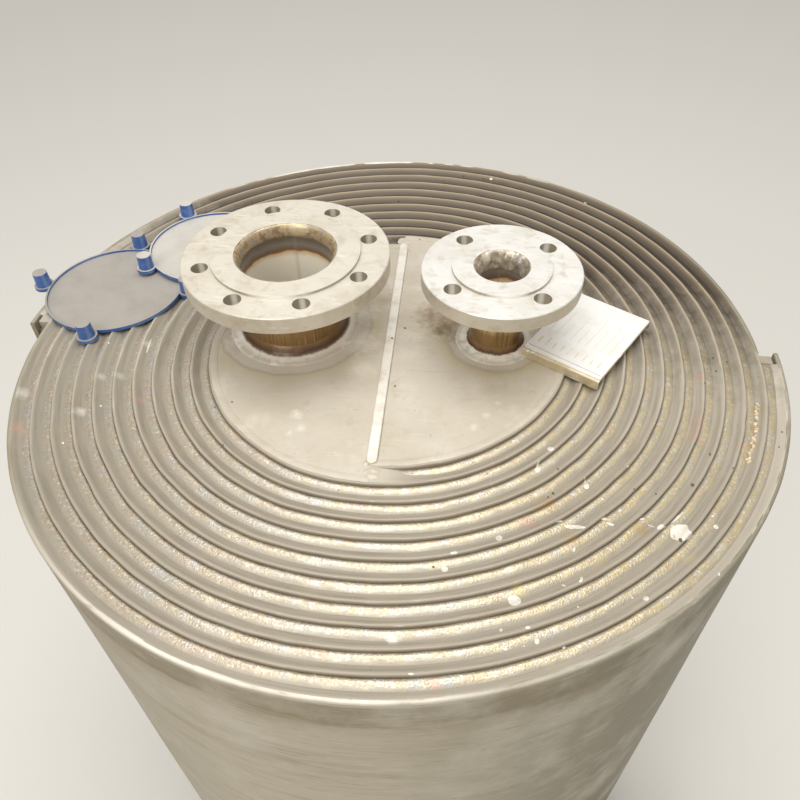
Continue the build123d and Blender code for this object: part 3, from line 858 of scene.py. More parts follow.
def nozzle_base_weld(side, centre, wall, toe, foot):
    """The fillet round a pipe; foot is the share of its width that is steep."""
    material, tree = new_finish("burnt fillet, " + side)
    reach = frayed(tree, distance_from(tree, centre.x, centre.y), 3 * MM, 9 * MM, 4.0)
    out = add(tree, "ShaderNodeMath", {0: reach, 1: wall + 1.5 * MM}, operation="SUBTRACT").outputs[0]
    full = toe / MM
    steep = ramp_over(tree, out, full, [(share * foot * full, tone) for share, tone in STEEP_TONES])
    flat = ramp_over(tree, out, full, [(share * full, tone) for share, tone in FLAT_TONES])
    flat = stain(tree, flat, "#cf9f88", 12 * MM, 0.58, 0.70, 0.5)
    flat = stain(tree, flat, "#a9b1b0", 16 * MM, 0.56, 0.68, 0.6)
    # painted highlight: near-white clouds for glints on the toe.
    flat = stain(tree, flat, "#fffdf8", 20 * MM, 0.54, 0.66, 0.8)
    colour = tinted_where(tree, steep, flat, out, 0.9 * foot * toe, 1.25 * foot * toe)
    cover_with(tree, colour, 0.30, 0.15, grit=4 * MM, deep=0.25 * MM, strength=0.6)
    return material


def nozzle_inner_weld(side, tones, spots):
    """The burnt bead inside a flange."""
    material, tree = new_finish("burnt bead, " + side)
    cloud = add(tree, "ShaderNodeTexNoise", {**grains(tree, 10 * MM), "Detail": 5.0, "Roughness": 0.7})
    colour = add(tree, "ShaderNodeValToRGB", {0: cloud.outputs[0]},
                 stops=list(zip(BURNT_PLACES, tones))).outputs[0]
    colour = stain(tree, colour, "#e3cfa4", 4 * MM, 0.60, 0.68)
    colour = patches(tree, colour, spots)
    cover_with(tree, colour, 0.34, 0.4, grit=2.5 * MM, deep=0.2 * MM, strength=0.5)
    return material


def plain_pipe():
    material, tree = new_finish("drawn stainless pipe")
    colour = stain(tree, "#b6ad9c", "#94866c", 30 * MM, 0.46, 0.66)
    cover_with(tree, colour, 0.38, 0.9, grit=1.6 * MM, deep=0.05 * MM, strength=0.4)
    return material


# %% [markdown]
# ### The small fittings
# The caps are moulded polythene: blue on the rims and pegs, with a painted highlight down one side of
# each peg and dust on all that faces up; the upper cap's dust is painted paler as painted light, the
# lower's darker as painted shade. The nameplate is etched and satin, on a folded bracket; the
# divider's weld cap was ground bright.

# %% Caps, nameplate, bracket and weld cap
PEG_FRONT = (0.75, -0.66, 0)


def blue_polythene(name, dusty, smeared):
    material, tree = new_finish(name)
    normal = add(tree, "ShaderNodeNewGeometry").outputs["Normal"]
    upward = add(tree, "ShaderNodeSeparateXYZ", {0: normal})
    toward = add(tree, "ShaderNodeVectorMath", {0: normal, 1: PEG_FRONT}, operation="DOT_PRODUCT")
    colour = stain(tree, "#4268ad", "#5c80be", 12 * MM, 0.48, 0.66)
    # painted highlight: a lighter blue streak on the side that faces the given direction.
    colour = tinted_where(tree, colour, "#8fa9d4", toward.outputs["Value"], 0.93, 0.99, 0.4)
    # painted light: the dust tones passed in make the upper cap paler than the lower.
    dust = stain(tree, dusty, smeared, 50 * MM, 0.45, 0.70)
    dust = stain(tree, dust, "#97a2b6", 14 * MM, 0.66, 0.76)
    colour = tinted_where(tree, colour, dust, upward.outputs["Z"], 0.80, 0.97)
    cover_with(tree, colour, 0.45, 0.0)
    return material


def satin_nameplate():
    material, tree = new_finish("satin etched nameplate")
    cover_with(tree, stain(tree, "#faf9f7", "#f2f0eb", 30 * MM, 0.46, 0.66), 0.4, 0.3)
    return material


def folded_bracket():
    material, tree = new_finish("folded stainless bracket")
    colour = stain(tree, "#cbbd9f", "#ddd2bb", 12 * MM, 0.46, 0.66)
    colour = stain(tree, colour, "#fffdf6", 7 * MM, 0.62, 0.68)
    cover_with(tree, colour, 0.38, 0.5)
    return material


def ground_cap():
    material, tree = new_finish("ground weld cap")
    colour = stain(tree, "#f8f4eb", "#e6dfd2", 16 * MM, 0.46, 0.62)
    colour = stain(tree, colour, "#f4f0e8", 10 * MM, 0.56, 0.64)
    cover_with(tree, colour, 0.42, 0.4, grit=1.6 * MM, deep=0.1 * MM, strength=0.6)
    return material


def plain_paint(name, tones, roughness):
    """Paint or another film in two tones."""
    material, tree = new_finish(name)
    cover_with(tree, stain(tree, *tones, 4 * MM, 0.48, 0.62), roughness, 0.0)
    return material


# painted light: the upper cap's dust tones are paler than the lower cap's; painted shade on the lower.
lower_cap = blue_polythene("blue moulded polythene", "#a6a098", "#9a948e")
upper_cap = blue_polythene("blue moulded polythene, painted lighter", "#c8c4bc", "#bab5ae")
print(len(bpy.data.materials), "materials so far")

# %% [markdown]
# ## The plates, strips and beads
# Each inner plate is one closed section with a rounded lip at both ends, wound eleven times. A few
# tenths of a millimetre of noise keep the lips from looking machined.

# %% Wound plates
LIP_ROUND = 1.4 * MM
NEAR = 20 * MM
QUARTER = [math.radians(angle) for angle in (0, 30, 60, 90)]
WANDER = [(1.3 * MM, 80 * MM), (0.6 * MM, 24 * MM)]
STIFF = 12 * MM              # the outermost ring, which stays where it is
FADE = 40 * MM


def rounded_section(inner, outer, bottom, top, radius, rows=()):
    """A tall closed section with rounded corners; rows are heights of extra points on its faces."""
    arc = [(radius * math.sin(a), radius * math.cos(a)) for a in QUARTER]
    right_side = outer - radius
    left_side = inner + radius
    floor_line = bottom + radius
    top_line = top - radius
    points = [(right_side + sine, floor_line - cosine) for sine, cosine in arc]
    points += [(outer, row) for row in rows]
    points += [(right_side + cosine, top_line + sine) for sine, cosine in arc]
    points += [(left_side - sine, top_line + cosine) for sine, cosine in arc]
    points += [(inner, row) for row in reversed(rows)]
    points += [(left_side - cosine, floor_line - sine) for sine, cosine in arc]
    return points


def near_an_end(v):
    return v.co.z < NEAR or v.co.z > TOP - NEAR


def wander(bm):
    """Lets everything wound wander together by about a millimetre, as hand-welded turns do."""
    for v in bm.verts:
        reach = v.co.to_2d().length
        fade = min(1.0, max(0.0, (SHELL_RADIUS - STIFF - reach) / FADE))
        shift = fade * sum(amount * noise.noise(v.co / size) for amount, size in WANDER)
        v.co.x += shift * v.co.x / reach
        v.co.y += shift * v.co.y / reach
    return bm


def kept_inside(bm, highest=TOP):
    """Noise may not carry a piece below the floor or over the plates' ends."""
    for v in bm.verts:
        v.co.z = min(highest, max(0.0, v.co.z))
    return bm


for letter in "ab":
    bm = wind(winding(0, HALF_TURNS - 1, LAST_ANGLE),
              rounded_section(-HALF, HALF, 0.0, TOP, LIP_ROUND), 5 * MM)
    if letter == "b":
        half_turned(bm)
    uneven(bm, 0.30 * MM, 28 * MM, near_an_end)
    kept_inside(wander(bm))
    finished(bm, "wound_plate_" + letter, edge, ("spiral_plate_" + letter,))

# %% [markdown]
# A strip closes each channel a few millimetres below the plates' edges, and its outer side washes up
# to the next plate. The bead along the foot of each plate is wound in finer steps, for its ripples.
# Both rise to the level of the covers where a channel starts, and to the end bar where it ends.

# %% Strips and the weld beads along the plates' feet
# Both sections are in millimetres out from the plate's face and below its top edge.
STRIP = [(0.0, -8.4), (7.0, -6.3), (10.0, -5.1), (13.0, -3.2), (15.4, -1.3), (16.8, -0.3), (17.8, 0.0),
         (17.8, -13.0), (0.0, -13.0)]
BEAD = [(-0.3, -5.0), (0.5, -4.1), (1.6, -3.5), (3.2, -3.3), (5.0, -3.7), (7.0, -4.3), (9.0, -4.9),
        (10.8, -5.8), (6.0, -8.6), (1.0, -9.4)]
RUN_IN = 62 * MM
RUN_IN_LEAST = 0.06          # the share of its depth that the recess has at its very start
SINKING = 170 * MM
RUN_OUT = 60 * MM
RUN_OUT_LEAST = 0.04
BAR_DEPTH = 1.6 * MM
DEEPEST = 11 * MM
STRIP_STEP = 7 * MM
BEAD_STEPS = {"top": 2.6 * MM, "bottom": 6 * MM}
BEAD_SUNK = 2.5 * MM


def eased(share, least):
    """Eases from least to one as the share goes from nought to one."""
    return least + (1 - least) * share * share * (3 - 2 * share)


def run_in(bm, sunk):
    """Near the divider the recess starts level with the covers; a bead is sunk there as well."""
    along = bm.verts.layers.float["along"]
    for v in bm.verts:
        depth = TOP - v.co.z
        if v[along] < RUN_IN and depth < DEEPEST:
            v.co.z = TOP - depth * eased(v[along] / RUN_IN, RUN_IN_LEAST)
        if v[along] < SINKING:
            v.co.z -= sunk * (1 - v[along] / SINKING) ** 2
    return bm


def run_out(bm):
    """Over its last stretch the recess rises to the level of the bar that ends the channel."""
    along = bm.verts.layers.float["along"]
    last = max(v[along] for v in bm.verts)
    for v in bm.verts:
        depth = TOP - v.co.z
        left = last - v[along]
        if left < RUN_OUT and BAR_DEPTH < depth < DEEPEST:
            v.co.z = TOP - BAR_DEPTH - (depth - BAR_DEPTH) * eased(left / RUN_OUT, RUN_OUT_LEAST)
    return bm


def along_a_channel(section, step, sunk, rough, letter):
    """Winds a section from the divider to the end bar, run in and out, in a channel's place."""
    arcs = winding(0, HALF_TURNS - 1, LAST_ANGLE - BAR_ANGLE)
    bm = wind(arcs, [(HALF + out * MM, TOP + height * MM) for out, height in section], step)
    run_out(run_in(bm, sunk))
    if letter == "b":
        half_turned(bm)
    return wander(uneven(bm, rough, 16 * MM))


for end in ("top", "bottom"):
    for letter, other in ("ab", "ba"):
        bm = along_a_channel(STRIP, STRIP_STEP, 0.0, 0.25 * MM, letter)
        if end == "bottom":
            kept_inside(upside_down(bm))
        finished(bm, end + "_strip_" + other, strip, (end + "_strip_" + other,), smooth_below=60)
        bm = along_a_channel(BEAD, BEAD_STEPS[end], BEAD_SUNK, 0.40 * MM, letter)
        uneven(bm, 0.22 * MM, 4 * MM)
        if end == "bottom":
            kept_inside(upside_down(bm))
        finished(bm, end + "_weld_bead_" + other, bead, smooth_below=60)

# %% [markdown]
# Each cover is welded to the first turn of its plate. The seam was ground down, so it is broad and
# almost flat, and has the cover's own finish.

# %% Closing welds between the covers and the first turns
CLOSING = [(-8.5, -0.15), (-7.0, 0.05), (-4.5, 0.15), (-2.2, 0.10), (-0.6, -0.05),
           (-0.6, -3.0), (-8.5, -3.0)]
CLOSING_STEP = 5 * MM

for letter, side in (("a", "right"), ("b", "left")):
    for end in ("top", "bottom"):
        section = [(out * MM, TOP + height * MM) for out, height in CLOSING]
        bm = wind(winding(0, 0, 180.0), section, CLOSING_STEP)
        if letter == "b":
            half_turned(bm)
        wander(uneven(bm, 0.25 * MM, 9 * MM))
        if end == "bottom":
            kept_inside(upside_down(bm))
        finished(bm, end + "_closing_weld_" + side, cover, smooth_below=60)

# %% [markdown]
# Where each plate starts, its first channel, its cover and the divider meet in one ground-down lump.
# Three flattened spheres that sink into each other make it, and noise hides where they meet.

# %% Junction welds
LUMP_DEPTH = 1.7 * MM
LUMP = (9 * MM, 11.5 * MM, 2.1 * MM)
CAP_LUMP = (3.4 * MM, 4.6 * MM, 2.0 * MM)
JUNCTION = Vector((1.5 * MM, -193.5 * MM, TOP - LUMP_DEPTH))
CAP_CORNERS = [Vector((side * 4.9 * MM, -182.6 * MM, TOP - LUMP_DEPTH)) for side in (-1, 1)]

for number in range(4):
    bm = bmesh.new()
    shape = Matrix.Translation(JUNCTION) @ Matrix.Diagonal((*LUMP, 1))
    bmesh.ops.create_uvsphere(bm, u_segments=48, v_segments=32, radius=1.0, matrix=shape)
    for corner in CAP_CORNERS:
        shape = Matrix.Translation(corner) @ Matrix.Diagonal((*CAP_LUMP, 1))
        bmesh.ops.create_uvsphere(bm, u_segments=24, v_segments=16, radius=1.0, matrix=shape)
    uneven(bm, 0.6 * MM, 5 * MM)
    if number % 2:
        half_turned(bm)
    if number > 1:
        kept_inside(upside_down(bm))
    place = ("top", "bottom")[number // 2] + ("_front", "_back")[number % 2]
    finished(bm, place + "_junction_weld", cover, smooth_below=60)

# %% [markdown]
# The last half turn of each plate is rolled from thicker steel and is the outside of the exchanger.
# It is the same winding with rows of points up its faces, so that slow dents can show in it. A
# boolean modifier then cuts the hole that the side nozzle stands in.

# %% Shell
SHELL_ROUND = 1.8 * MM
PIPE_WALL_MIDDLE = 2 * MM
ROWS = [TOP * row / 20 for row in range(1, 20)]
DENT = 0.5 * MM
DENT_SIZE = 160 * MM


def drilled(piece, nozzle):
    """Opens the shell where a side nozzle stands, as wide as the middle of its pipe's wall."""
    low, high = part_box(nozzle + "_pipe")
    radius = (high.z - low.z) / 2 - PIPE_WALL_MIDDLE
    place = (low + high) / 2
    heading = Vector((place.x, place.y, 0)).normalized()
    bm = bmesh.new()
    turn = heading.to_track_quat("Z", "Y").to_matrix().to_4x4()
    bmesh.ops.create_cone(bm, cap_ends=True, segments=64, radius1=radius, radius2=radius, depth=4 * radius,
                          matrix=Matrix.Translation(place) @ turn)
    bmesh.ops.recalc_face_normals(bm, faces=bm.faces)
    mesh = bpy.data.meshes.new("drill")
    bm.to_mesh(mesh)
    bm.free()
    drill = bpy.data.objects.new("drill", mesh)
    bpy.context.scene.collection.objects.link(drill)
    cut = piece.modifiers.new("hole", "BOOLEAN")
    cut.object = drill
    cut.operation = "DIFFERENCE"
    shape = bpy.data.meshes.new_from_object(piece.evaluated_get(bpy.context.evaluated_depsgraph_get()))
    piece.modifiers.clear()
    piece.data = shape
    bpy.data.objects.remove(drill)
    print(piece.name, len(shape.polygons), "faces after drilling")


shell_section = rounded_section(-HALF, SHELL - HALF, 0.0, TOP, SHELL_ROUND, ROWS)
for side in ("back", "front"):
    bm = wind(winding(HALF_TURNS - 1, HALF_TURNS, LAST_ANGLE, LAST_ANGLE), shell_section, 9 * MM)
    if side == "front":
        half_turned(bm)
    uneven(bm, 0.25 * MM, 30 * MM, near_an_end)
    for v in bm.verts:
        dent = DENT + DENT * noise.noise(v.co / DENT_SIZE)
        v.co.x -= dent * v.co.x / SHELL_RADIUS
        v.co.y -= dent * v.co.y / SHELL_RADIUS
    kept_inside(bm)
    piece = finished(bm, "rolled_shell_" + side, shell, ("shell_" + side,))
    drilled(piece, side + "_side_nozzle")

# %% [markdown]
# ## The nozzle welds
# A fillet joins each pipe to its cover and washes out into a flat toe. Inside the flange a wide bead
# covers the pipe's end. Each is one section turned round the nozzle's axis, rippled by a sine.

# %% Welds turned round a nozzle
FLANGE_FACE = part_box("left_nozzle_flange")[1].z
COVER_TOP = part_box("top_cover_left")[1].z
TOE = 19.0
FILLET_TOE = [(10.0, 2.0), (14.0, 1.5), (17.0, 0.8), (TOE, 0.05), (TOE, -0.6), (-0.6, -0.6)]
BROAD_FILLET = [(-0.6, 12.4), (0.5, 11.4), (1.8, 9.4), (3.2, 7.2), (4.6, 5.2), (6.2, 3.4)] + FILLET_TOE
CLOSE_FILLET = [(-0.6, 12.4), (0.3, 10.6), (0.8, 8.4), (1.4, 6.4), (2.2, 4.6), (3.6, 3.2)] + FILLET_TOE
WIDE_BEAD = [(4.5, -0.5), (3.4, -0.9), (2.0, -2.4), (0.9, -4.6), (0.0, -7.0), (-0.7, -9.6), (-0.9, -11.8),
             (-0.6, -13.8), (0.15, -15.4), (1.4, -14.0), (1.4, -9.4), (4.5, -9.4)]
SCALE_SLANT = 400            # how far the scales of a bead lean, in radians a metre


def turned(section, centre, start_radius, level, steps=160):
    """A closed section, in millimetres from a radius and a level, turned once round the axis."""
    bm = bmesh.new()
    corners = [bm.verts.new((centre.x + start_radius + out * MM, centre.y, level + height * MM))
               for out, height in section]
    loop = [bm.edges.new(pair) for pair in zip(corners, corners[1:] + corners[:1])]
    bmesh.ops.spin(bm, geom=corners + loop, cent=(centre.x, centre.y, level), axis=(0, 0, 1),
                   angle=math.tau, steps=steps, use_merge=True, use_duplicate=False)
    bmesh.ops.remove_doubles(bm, verts=bm.verts, dist=MERGE)
    bmesh.ops.recalc_face_normals(bm, faces=bm.faces)
    return bm


def rippled(bm, centre, count, amount):
    """Raises the scales of a bead, count of them round the axis."""
    bm.normal_update()
    for v in bm.verts:
        arm = v.co - centre
        slant = SCALE_SLANT * (arm.to_2d().length + arm.z)
        v.co += v.normal * amount * math.sin(count * math.atan2(arm.y, arm.x) + slant)
    return bm


def lumped(bm, lumps):
    """Pushes a bead out into lumps; each has a point, a reach and a height."""
    bm.normal_update()
    for point, reach, height in lumps:
        for v in bm.verts:
            v.co += v.normal * height * math.exp(-((v.co - point).length / reach) ** 2)
    return bm


# %% [markdown]
# The larger nozzle's fillet is broad and its inner bead flows evenly. The smaller one was welded in a
# tight bore, so its bead is deeper and stands in lumps. Lumps and spots of tint are placed in
# millimetres from the middle of the flange's face; the smaller nozzle's near-white spot is a painted
# highlight on a lump.

# %% Fillets and inner beads
NOZZLES = {
    "left": {
        "centre": LEFT_NOZZLE, "wall": 4.0, "fillet": BROAD_FILLET, "spread": 1.0, "steep": 0.36,
        "ripples": 96, "deep": 1.0, "pipe_middle": "#b99b66",
        "tones": ("#8f8070", "#a99375", "#cdb791", "#a59e92", "#c6c1b6"),
        "spots": [((4, 52, -5), 16, "#e8d6b0", 0.7)],
        "lumps": []},
    "right": {
        "centre": RIGHT_NOZZLE, "wall": 3.5, "fillet": CLOSE_FILLET, "spread": 0.8, "steep": 0.19,
        "ripples": 52, "deep": 1.4, "pipe_middle": "#e6d19c",
        "tones": ("#7d7267", "#b8ab97", "#dcd1bd", "#bdb8b0", "#f6f3ee"),
        "spots": [((22, 14, -9), 15, "#4b4038", 0.8), ((-6, 25, -4), 8, "#7b6a55", 0.7),
                  # painted highlight: the near-white spot below sits on a lump.
                  ((8, 30, -6), 6, "#fffaec", 1.0)],
        "lumps": [((5, 24, -6), 6, 7), ((17, 17, -9), 7, 5), ((-14, 20, -8), 5, 4), ((-4, 25, -17), 4, 3),
                  ((11, 22, -18), 4, 3), ((23, 9, -15), 5, 3), ((-22, 12, -15), 5, 3)]}}
BELOW_FACE = 0.1 * MM
pipe_finish = {}

for side, nozzle in NOZZLES.items():
    centre = nozzle["centre"]
    spread = nozzle["spread"]
    low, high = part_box(side + "_nozzle_pipe")
    wall = (high.x - low.x) / 2
    bore = wall - nozzle["wall"] * MM

    section = [(out * spread, height * (0.75 + 0.25 * spread)) for out, height in nozzle["fillet"]]
    bm = rippled(turned(section, centre, wall, COVER_TOP), centre, nozzle["ripples"], 0.22 * MM)
    uneven(bm, 0.5 * MM, 11 * MM)
    burnt = nozzle_base_weld(side, centre, wall, TOE * spread * MM, nozzle["steep"])
    finished(bm, side + "_nozzle_fillet", burnt, (side + "_nozzle_base_weld",), smooth_below=60)

    section = [(out, height * nozzle["deep"]) for out, height in WIDE_BEAD]
    bm = rippled(turned(section, centre, bore, FLANGE_FACE), centre, nozzle["ripples"], 0.07 * MM)
    uneven(bm, 0.7 * MM, 9 * MM)
    face = Vector((centre.x, centre.y, FLANGE_FACE))
    spots = [(face + Vector(place) * MM, size * MM, tint, strength)
             for place, size, tint, strength in nozzle["spots"]]
    if nozzle["lumps"]:
        lumped(bm, [(face + Vector(place) * MM, reach * MM, height * MM)
                    for place, reach, height in nozzle["lumps"]])
        uneven(bm, 1.0 * MM, 4 * MM)
    kept_inside(bm, FLANGE_FACE - BELOW_FACE)
    burnt = nozzle_inner_weld(side, nozzle["tones"], spots)
    finished(bm, side + "_nozzle_seal_bead", burnt, (side + "_nozzle_inner_weld",), smooth_below=60)
    pipe_finish[side] = tinted_pipe(side, centre, bore, nozzle["pipe_middle"])

# %% [markdown]
# ## Finishes on the pieces of the CAD frame
# Covers, pipes, flanges, caps and the nameplate keep the shapes that the CAD gives them and only take
# their finishes. The welds of the side nozzles have the bead's finish.

# %% Finishes on the CAD nodes that keep their shape
finishes = {
    "top_cover_left": top_cover, "top_cover_right": top_cover, "bottom_cover_left": cover,
    "bottom_cover_right": cover, "divider_plate": cover, "divider_weld_cap": ground_cap(),
    "left_end_bar": edge, "right_end_bar": edge,
    "left_nozzle_pipe": pipe_finish["left"], "right_nozzle_pipe": pipe_finish["right"],
    "left_nozzle_flange": turned_flange("left", 110 * MM, "#e1dbce", "#d4ccbc", 0.2),
    "right_nozzle_flange": turned_flange("right", 82.5 * MM, "#eceae6", "#dedad2", 0.5),
    "lower_flange_cap": lower_cap, "upper_flange_cap": upper_cap,
    "nameplate": satin_nameplate(), "nameplate_bracket": folded_bracket(),
}
side_pipe = plain_pipe()
side_face = side_flange()
for side in ("front", "back"):
    finishes[side + "_side_nozzle_pipe"] = side_pipe
    finishes[side + "_side_nozzle_flange"] = side_face
for name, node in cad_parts.items():
    for slot in node.material_slots:
        slot.material = finishes.get(name, bead)
print(len(finishes), "CAD nodes with a finish of their own")

# %% [markdown]
# ## What dropped on the steel
# Paint, mortar and weld spatter lie where they fell. Each film is a small grid of sight lines from
# the photograph's camera, stopped by the steel, torn where it would bridge a gap, and thickened to a
# closed sheet that is thinnest at its edge.

# %% Films
TORN = 3 * MM
SUNK = 0.12 * MM
OVER_THE_FLOOR = 1 * MM
RAGGED = 0.45                # how far a drop's outline strays, as a share of its size
RAGGED_SIZE = 0.35
MARGIN = 1.25
THINNEST = 0.35


def drop_left(px, py, wide, tall, turn, x, y):
    """How far inside a drop the place x, y from its middle lies; at nought or below it is outside."""
    cosine = math.cos(math.radians(turn))
    sine = math.sin(math.radians(turn))
    ratio = ((x * cosine + y * sine) / wide) ** 2 + ((y * cosine - x * sine) / tall) ** 2
    wobble = noise.noise(Vector((px + x, py + y, 0)) / (RAGGED_SIZE * (wide + tall)))
    return 1 + RAGGED * wobble - ratio


def draped(name, drops, material, film, grain):
    """Lays drops on the steel; a drop is a pixel, two half sizes in pixels and a turn in degrees."""
    graph = bpy.context.evaluated_depsgraph_get()
    bm = bmesh.new()
    thick = bm.verts.layers.float.new("film")
    for px, py, wide, tall, turn in drops:
        reach = math.ceil(MARGIN * max(wide, tall) / grain)
        grid = bmesh.ops.create_grid(bm, x_segments=2 * reach, y_segments=2 * reach, size=reach * grain)
        missed = []
        for corner in grid["verts"]:
            x, y = corner.co.xy
            inside = drop_left(px, py, wide, tall, turn, x, y)
            hit = False
            if inside > 0:
                hit, place, *rest = bpy.context.scene.ray_cast(graph, CAMERA_PLACE, sight(px + x, py + y))
            if hit and place.z > OVER_THE_FLOOR:
                corner.co = place
                corner[thick] = film * (THINNEST + (1 - THINNEST) * math.sqrt(min(1.0, inside)))
            else:
                missed.append(corner)
        bmesh.ops.delete(bm, geom=missed, context="VERTS")
    torn = [f for f in bm.faces if max(e.calc_length() for e in f.edges) >= TORN]
    bmesh.ops.delete(bm, geom=torn, context="FACES")
    bmesh.ops.delete(bm, geom=[e for e in bm.edges if e.is_wire], context="EDGES")
    bmesh.ops.delete(bm, geom=[v for v in bm.verts if not v.link_faces], context="VERTS")
    raised = bmesh.ops.extrude_face_region(bm, geom=bm.faces[:], use_keep_orig=True)
    lifted = {v for v in raised["geom"] if isinstance(v, bmesh.types.BMVert)}
    for v in bm.verts:
        toward = (CAMERA_PLACE - v.co).normalized()
        v.co += toward * (v[thick] if v in lifted else -SUNK)
    bm.verts.layers.float.remove(thick)
    return finished(bm, name, material, smooth_below=70)


WHITE_PAINT = [
    (681, 533, 10.5, 9, 10), (677, 518, 9, 1.5, -42), (661, 527, 4.6, 2.8, -15), (651, 526, 5, 0.9, 20),
    (604, 519, 3, 1.7, 0), (610, 524, 4, 1.7, 15), (642, 519, 3, 1.2, -10), (586.5, 486.5, 3, 2.8, 0),
    (585, 480, 0.9, 4, 0), (574, 549.5, 1.7, 3, 20), (581, 580, 2, 3.4, 20), (563.7, 585.5, 2.6, 1.3, 20),
    (578, 607, 1.4, 1.4, 0), (646, 598.5, 3.4, 2.6, 0), (632.5, 598, 1.7, 1.4, 0), (628, 466.5, 1.4, 1.6, 0),
    (454, 553, 4.2, 1.9, -8), (444.5, 569, 3.8, 3.4, 0), (499, 538, 3.4, 2.9, 0), (514.5, 600.5, 7, 5.6, 10),
    (501, 619, 1.8, 2.6, 0), (501, 630, 2, 2, 0), (528, 627.5, 3, 2, 0), (537, 641.5, 2.7, 3.3, 0),
    (524, 646, 1.2, 1.2, 0), (505, 649, 3, 2, 0), (564, 647.5, 2.2, 1.5, -20), (525, 613, 1.2, 1.5, 0),
    (538, 464, 1.2, 4.5, 20), (537.5, 470, 3.2, 3, 0), (713, 516, 1.6, 1.6, 0), (719, 574, 1.2, 2.4, 0),
    (574, 527, 12, 2.2, 4), (559, 521.5, 4, 1.2, -10), (109, 343, 1.5, 1.3, 0), (101, 406, 1.6, 1.4, 0),
    (63, 443, 1.6, 1.4, 0), (149, 346, 1.2, 8, 18), (491, 179, 2, 1.2, 0), (585, 203, 1.6, 1.2, 0),
    (411, 674, 3.4, 1.6, 0), (392, 641, 6, 1.8, 5), (443, 632, 3, 1.8, 0), (337, 660, 4.5, 2.2, 5),
    (550.5, 449, 3.6, 2.6, 0), (716, 527, 3, 2.4, 30)]
DARK_SPECKS = [(px, py, 0.9 * size, 0.75 * size, 40) for px, py, size in (
    (232, 402, 1.3), (215, 407, 1.2), (223, 445, 1.3), (405, 328, 1.5), (395, 386, 1.3), (392, 338, 1.3),
    (713, 358, 1.5), (716, 371, 1.3), (727, 362, 1.3), (705, 383, 1.2), (710, 454, 1.5), (733, 468, 1.3),
    (782, 432, 1.3), (779, 447, 1.2), (656, 494, 1.4), (692.5, 485, 2.4),
    (433.5, 567, 1.7), (634, 489, 1.2), (680.5, 540, 2.6), (553, 493.5, 1.8), (548, 497, 1.3),
    (558, 469, 1.4), (710, 455, 1.3))]
white = plain_paint("white paint", ("#e9e5db", "#d9d2c4"), 0.5)
draped("white_paint", WHITE_PAINT, white, film=0.5 * MM, grain=0.5)
dark = plain_paint("dark specks", ("#6d5d4b", "#4c4034"), 0.6)
draped("dark_specks", DARK_SPECKS, dark, film=0.3 * MM, grain=0.3)

# %% [markdown]
# A row of bright pearls, left by a repair weld, lies in the outermost trough at the right. Flattened
# spheres of uneven size are dropped along a line of pixels.

# %% Pearls of a repair weld
PEARL_LINE = [(758.2, 403.7), (756.7, 417.2), (755.2, 429.3), (753.7, 441.4), (750.7, 453.5), (747.7, 464.0)]
PEARLS_A_STRETCH = 9
PEARL_FLATNESS = 0.55
random.seed(3)
graph = bpy.context.evaluated_depsgraph_get()
bm = bmesh.new()
for (x0, y0), (x1, y1) in zip(PEARL_LINE, PEARL_LINE[1:]):
    for number in range(PEARLS_A_STRETCH):
        share = number / PEARLS_A_STRETCH
        px = x0 + (x1 - x0) * share + random.uniform(-1.8, 1.8)
        py = y0 + (y1 - y0) * share + random.uniform(-1.0, 1.0)
        hit, place, *rest = bpy.context.scene.ray_cast(graph, CAMERA_PLACE, sight(px, py))
        shape = Matrix.Translation(place) @ Matrix.Diagonal((1, 1, PEARL_FLATNESS, 1))
        bmesh.ops.create_icosphere(bm, subdivisions=2, radius=random.uniform(1.0, 2.1) * MM, matrix=shape)
pearly = plain_paint("bright gold-tinted pearls", ("#ddd2b8", "#bb9c68"), 0.3)
finished(bm, "pearl_weld", pearly, smooth_below=80)

# %% [markdown]
# Spatter flew off the weld pool and froze as small grains. They are dropped straight down at random
# places, and stay where they meet the plates, strips or covers. Most are small.

# %% Weld spatter
SPATTER = 260
GRAIN_CORNERS = 12
SPATTER_REACH = 0.40
RISE = 50 * MM
GROUND = 14 * MM
BIGGEST_GRAIN = 1.1 * MM
GRAIN_FLATNESS = 0.7
random.seed(7)
graph = bpy.context.evaluated_depsgraph_get()
bm = bmesh.new()
while len(bm.verts) < GRAIN_CORNERS * SPATTER:
    heading = random.uniform(0, math.tau)
    reach = SPATTER_REACH * math.sqrt(random.random())
    above = Vector((reach * math.cos(heading), reach * math.sin(heading), TOP + RISE))
    hit, place, *rest = bpy.context.scene.ray_cast(graph, above, Vector((0, 0, -1)))
    if not hit or place.z < TOP - GROUND or place.z > TOP + 1 * MM:
        continue
    size = random.uniform(0.35, 1.0) ** 2 * BIGGEST_GRAIN
    shape = Matrix.Translation(place) @ Matrix.Diagonal((1, 1, GRAIN_FLATNESS, 1))
    bmesh.ops.create_icosphere(bm, subdivisions=1, radius=size, matrix=shape)
finished(bm, "weld_spatter", bead, smooth_below=80)

# %% [markdown]
# The nameplate is etched in nine rows. Each row is two thin bars, a short wide one and a long narrow
# one after it, whose lengths are drawn at random. One more bar, a darker one, is painted shade along
# the crease of the fold.

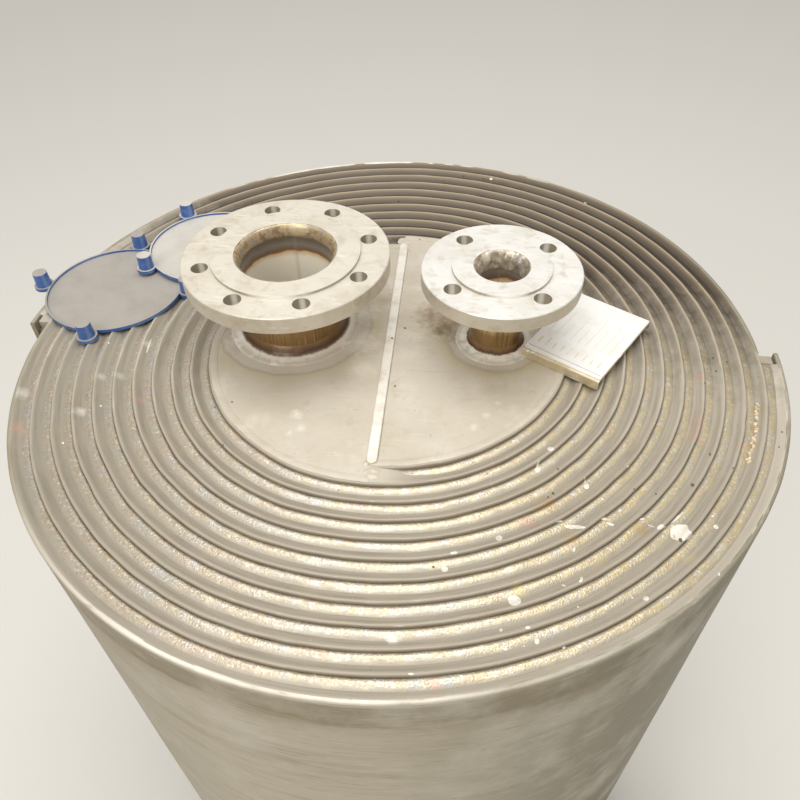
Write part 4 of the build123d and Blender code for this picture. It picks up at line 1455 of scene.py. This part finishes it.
# %% Ruled lines on the nameplate
ROWS_OF_LINES = 9
LINE_WIDTH = 0.8 * MM
HEADING_WIDTH = 2.2 * LINE_WIDTH
LINE_HEIGHT = 0.10 * MM
HEADING_LENGTHS = (9, 15)
LINE_LENGTHS = (24, 66)
FIRST_ROW = 0.09             # places on the nameplate are shares of its two sides
ROW_PITCH = 0.1
HEADING_START = 0.12
LINE_START = 0.20
CREASE_PLACE = 0.045
CREASE_MARGIN = 0.02

plate_corners = [v.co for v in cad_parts["nameplate"].data.vertices]
left_corner = min(plate_corners, key=lambda c: c.x)
near_corner = min(plate_corners, key=lambda c: c.y)
far_corner = max(plate_corners, key=lambda c: c.y)
across_plate = Vector(((near_corner - left_corner).x, (near_corner - left_corner).y, 0))
along_plate = Vector(((far_corner - left_corner).x, (far_corner - left_corner).y, 0))
origin = Vector((left_corner.x, left_corner.y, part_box("nameplate")[1].z))


def ruled(bm, start, direction, length, width):
    """A thin flat bar on the nameplate's face."""
    middle = start + direction.normalized() * length / 2
    turn = Matrix.Rotation(math.atan2(direction.y, direction.x), 4, "Z")
    size = Matrix.Diagonal((length, width, LINE_HEIGHT, 1))
    bmesh.ops.create_cube(bm, size=1.0, matrix=Matrix.Translation(middle) @ turn @ size)


bm = bmesh.new()
for row in range(ROWS_OF_LINES):
    start = origin + across_plate * (FIRST_ROW + ROW_PITCH * row) + along_plate * HEADING_START
    ruled(bm, start, along_plate, random.uniform(*HEADING_LENGTHS) * MM, HEADING_WIDTH)
    start += along_plate * LINE_START
    ruled(bm, start, along_plate, random.uniform(*LINE_LENGTHS) * MM, LINE_WIDTH)
golden = plain_paint("golden etching", ("#e3d9b9", "#f3eddf"), 0.5)
finished(bm, "nameplate_ruled_lines", golden)

# painted shade: the darker bar below stands in for the fold's crease.
bm = bmesh.new()
start = origin + along_plate * CREASE_PLACE + across_plate * CREASE_MARGIN
ruled(bm, start, across_plate, (1 - 2 * CREASE_MARGIN) * across_plate.length, LINE_WIDTH)
finished(bm, "nameplate_crease_shade", plain_paint("crease", ("#b3a994", "#c9c0ae"), 0.5))
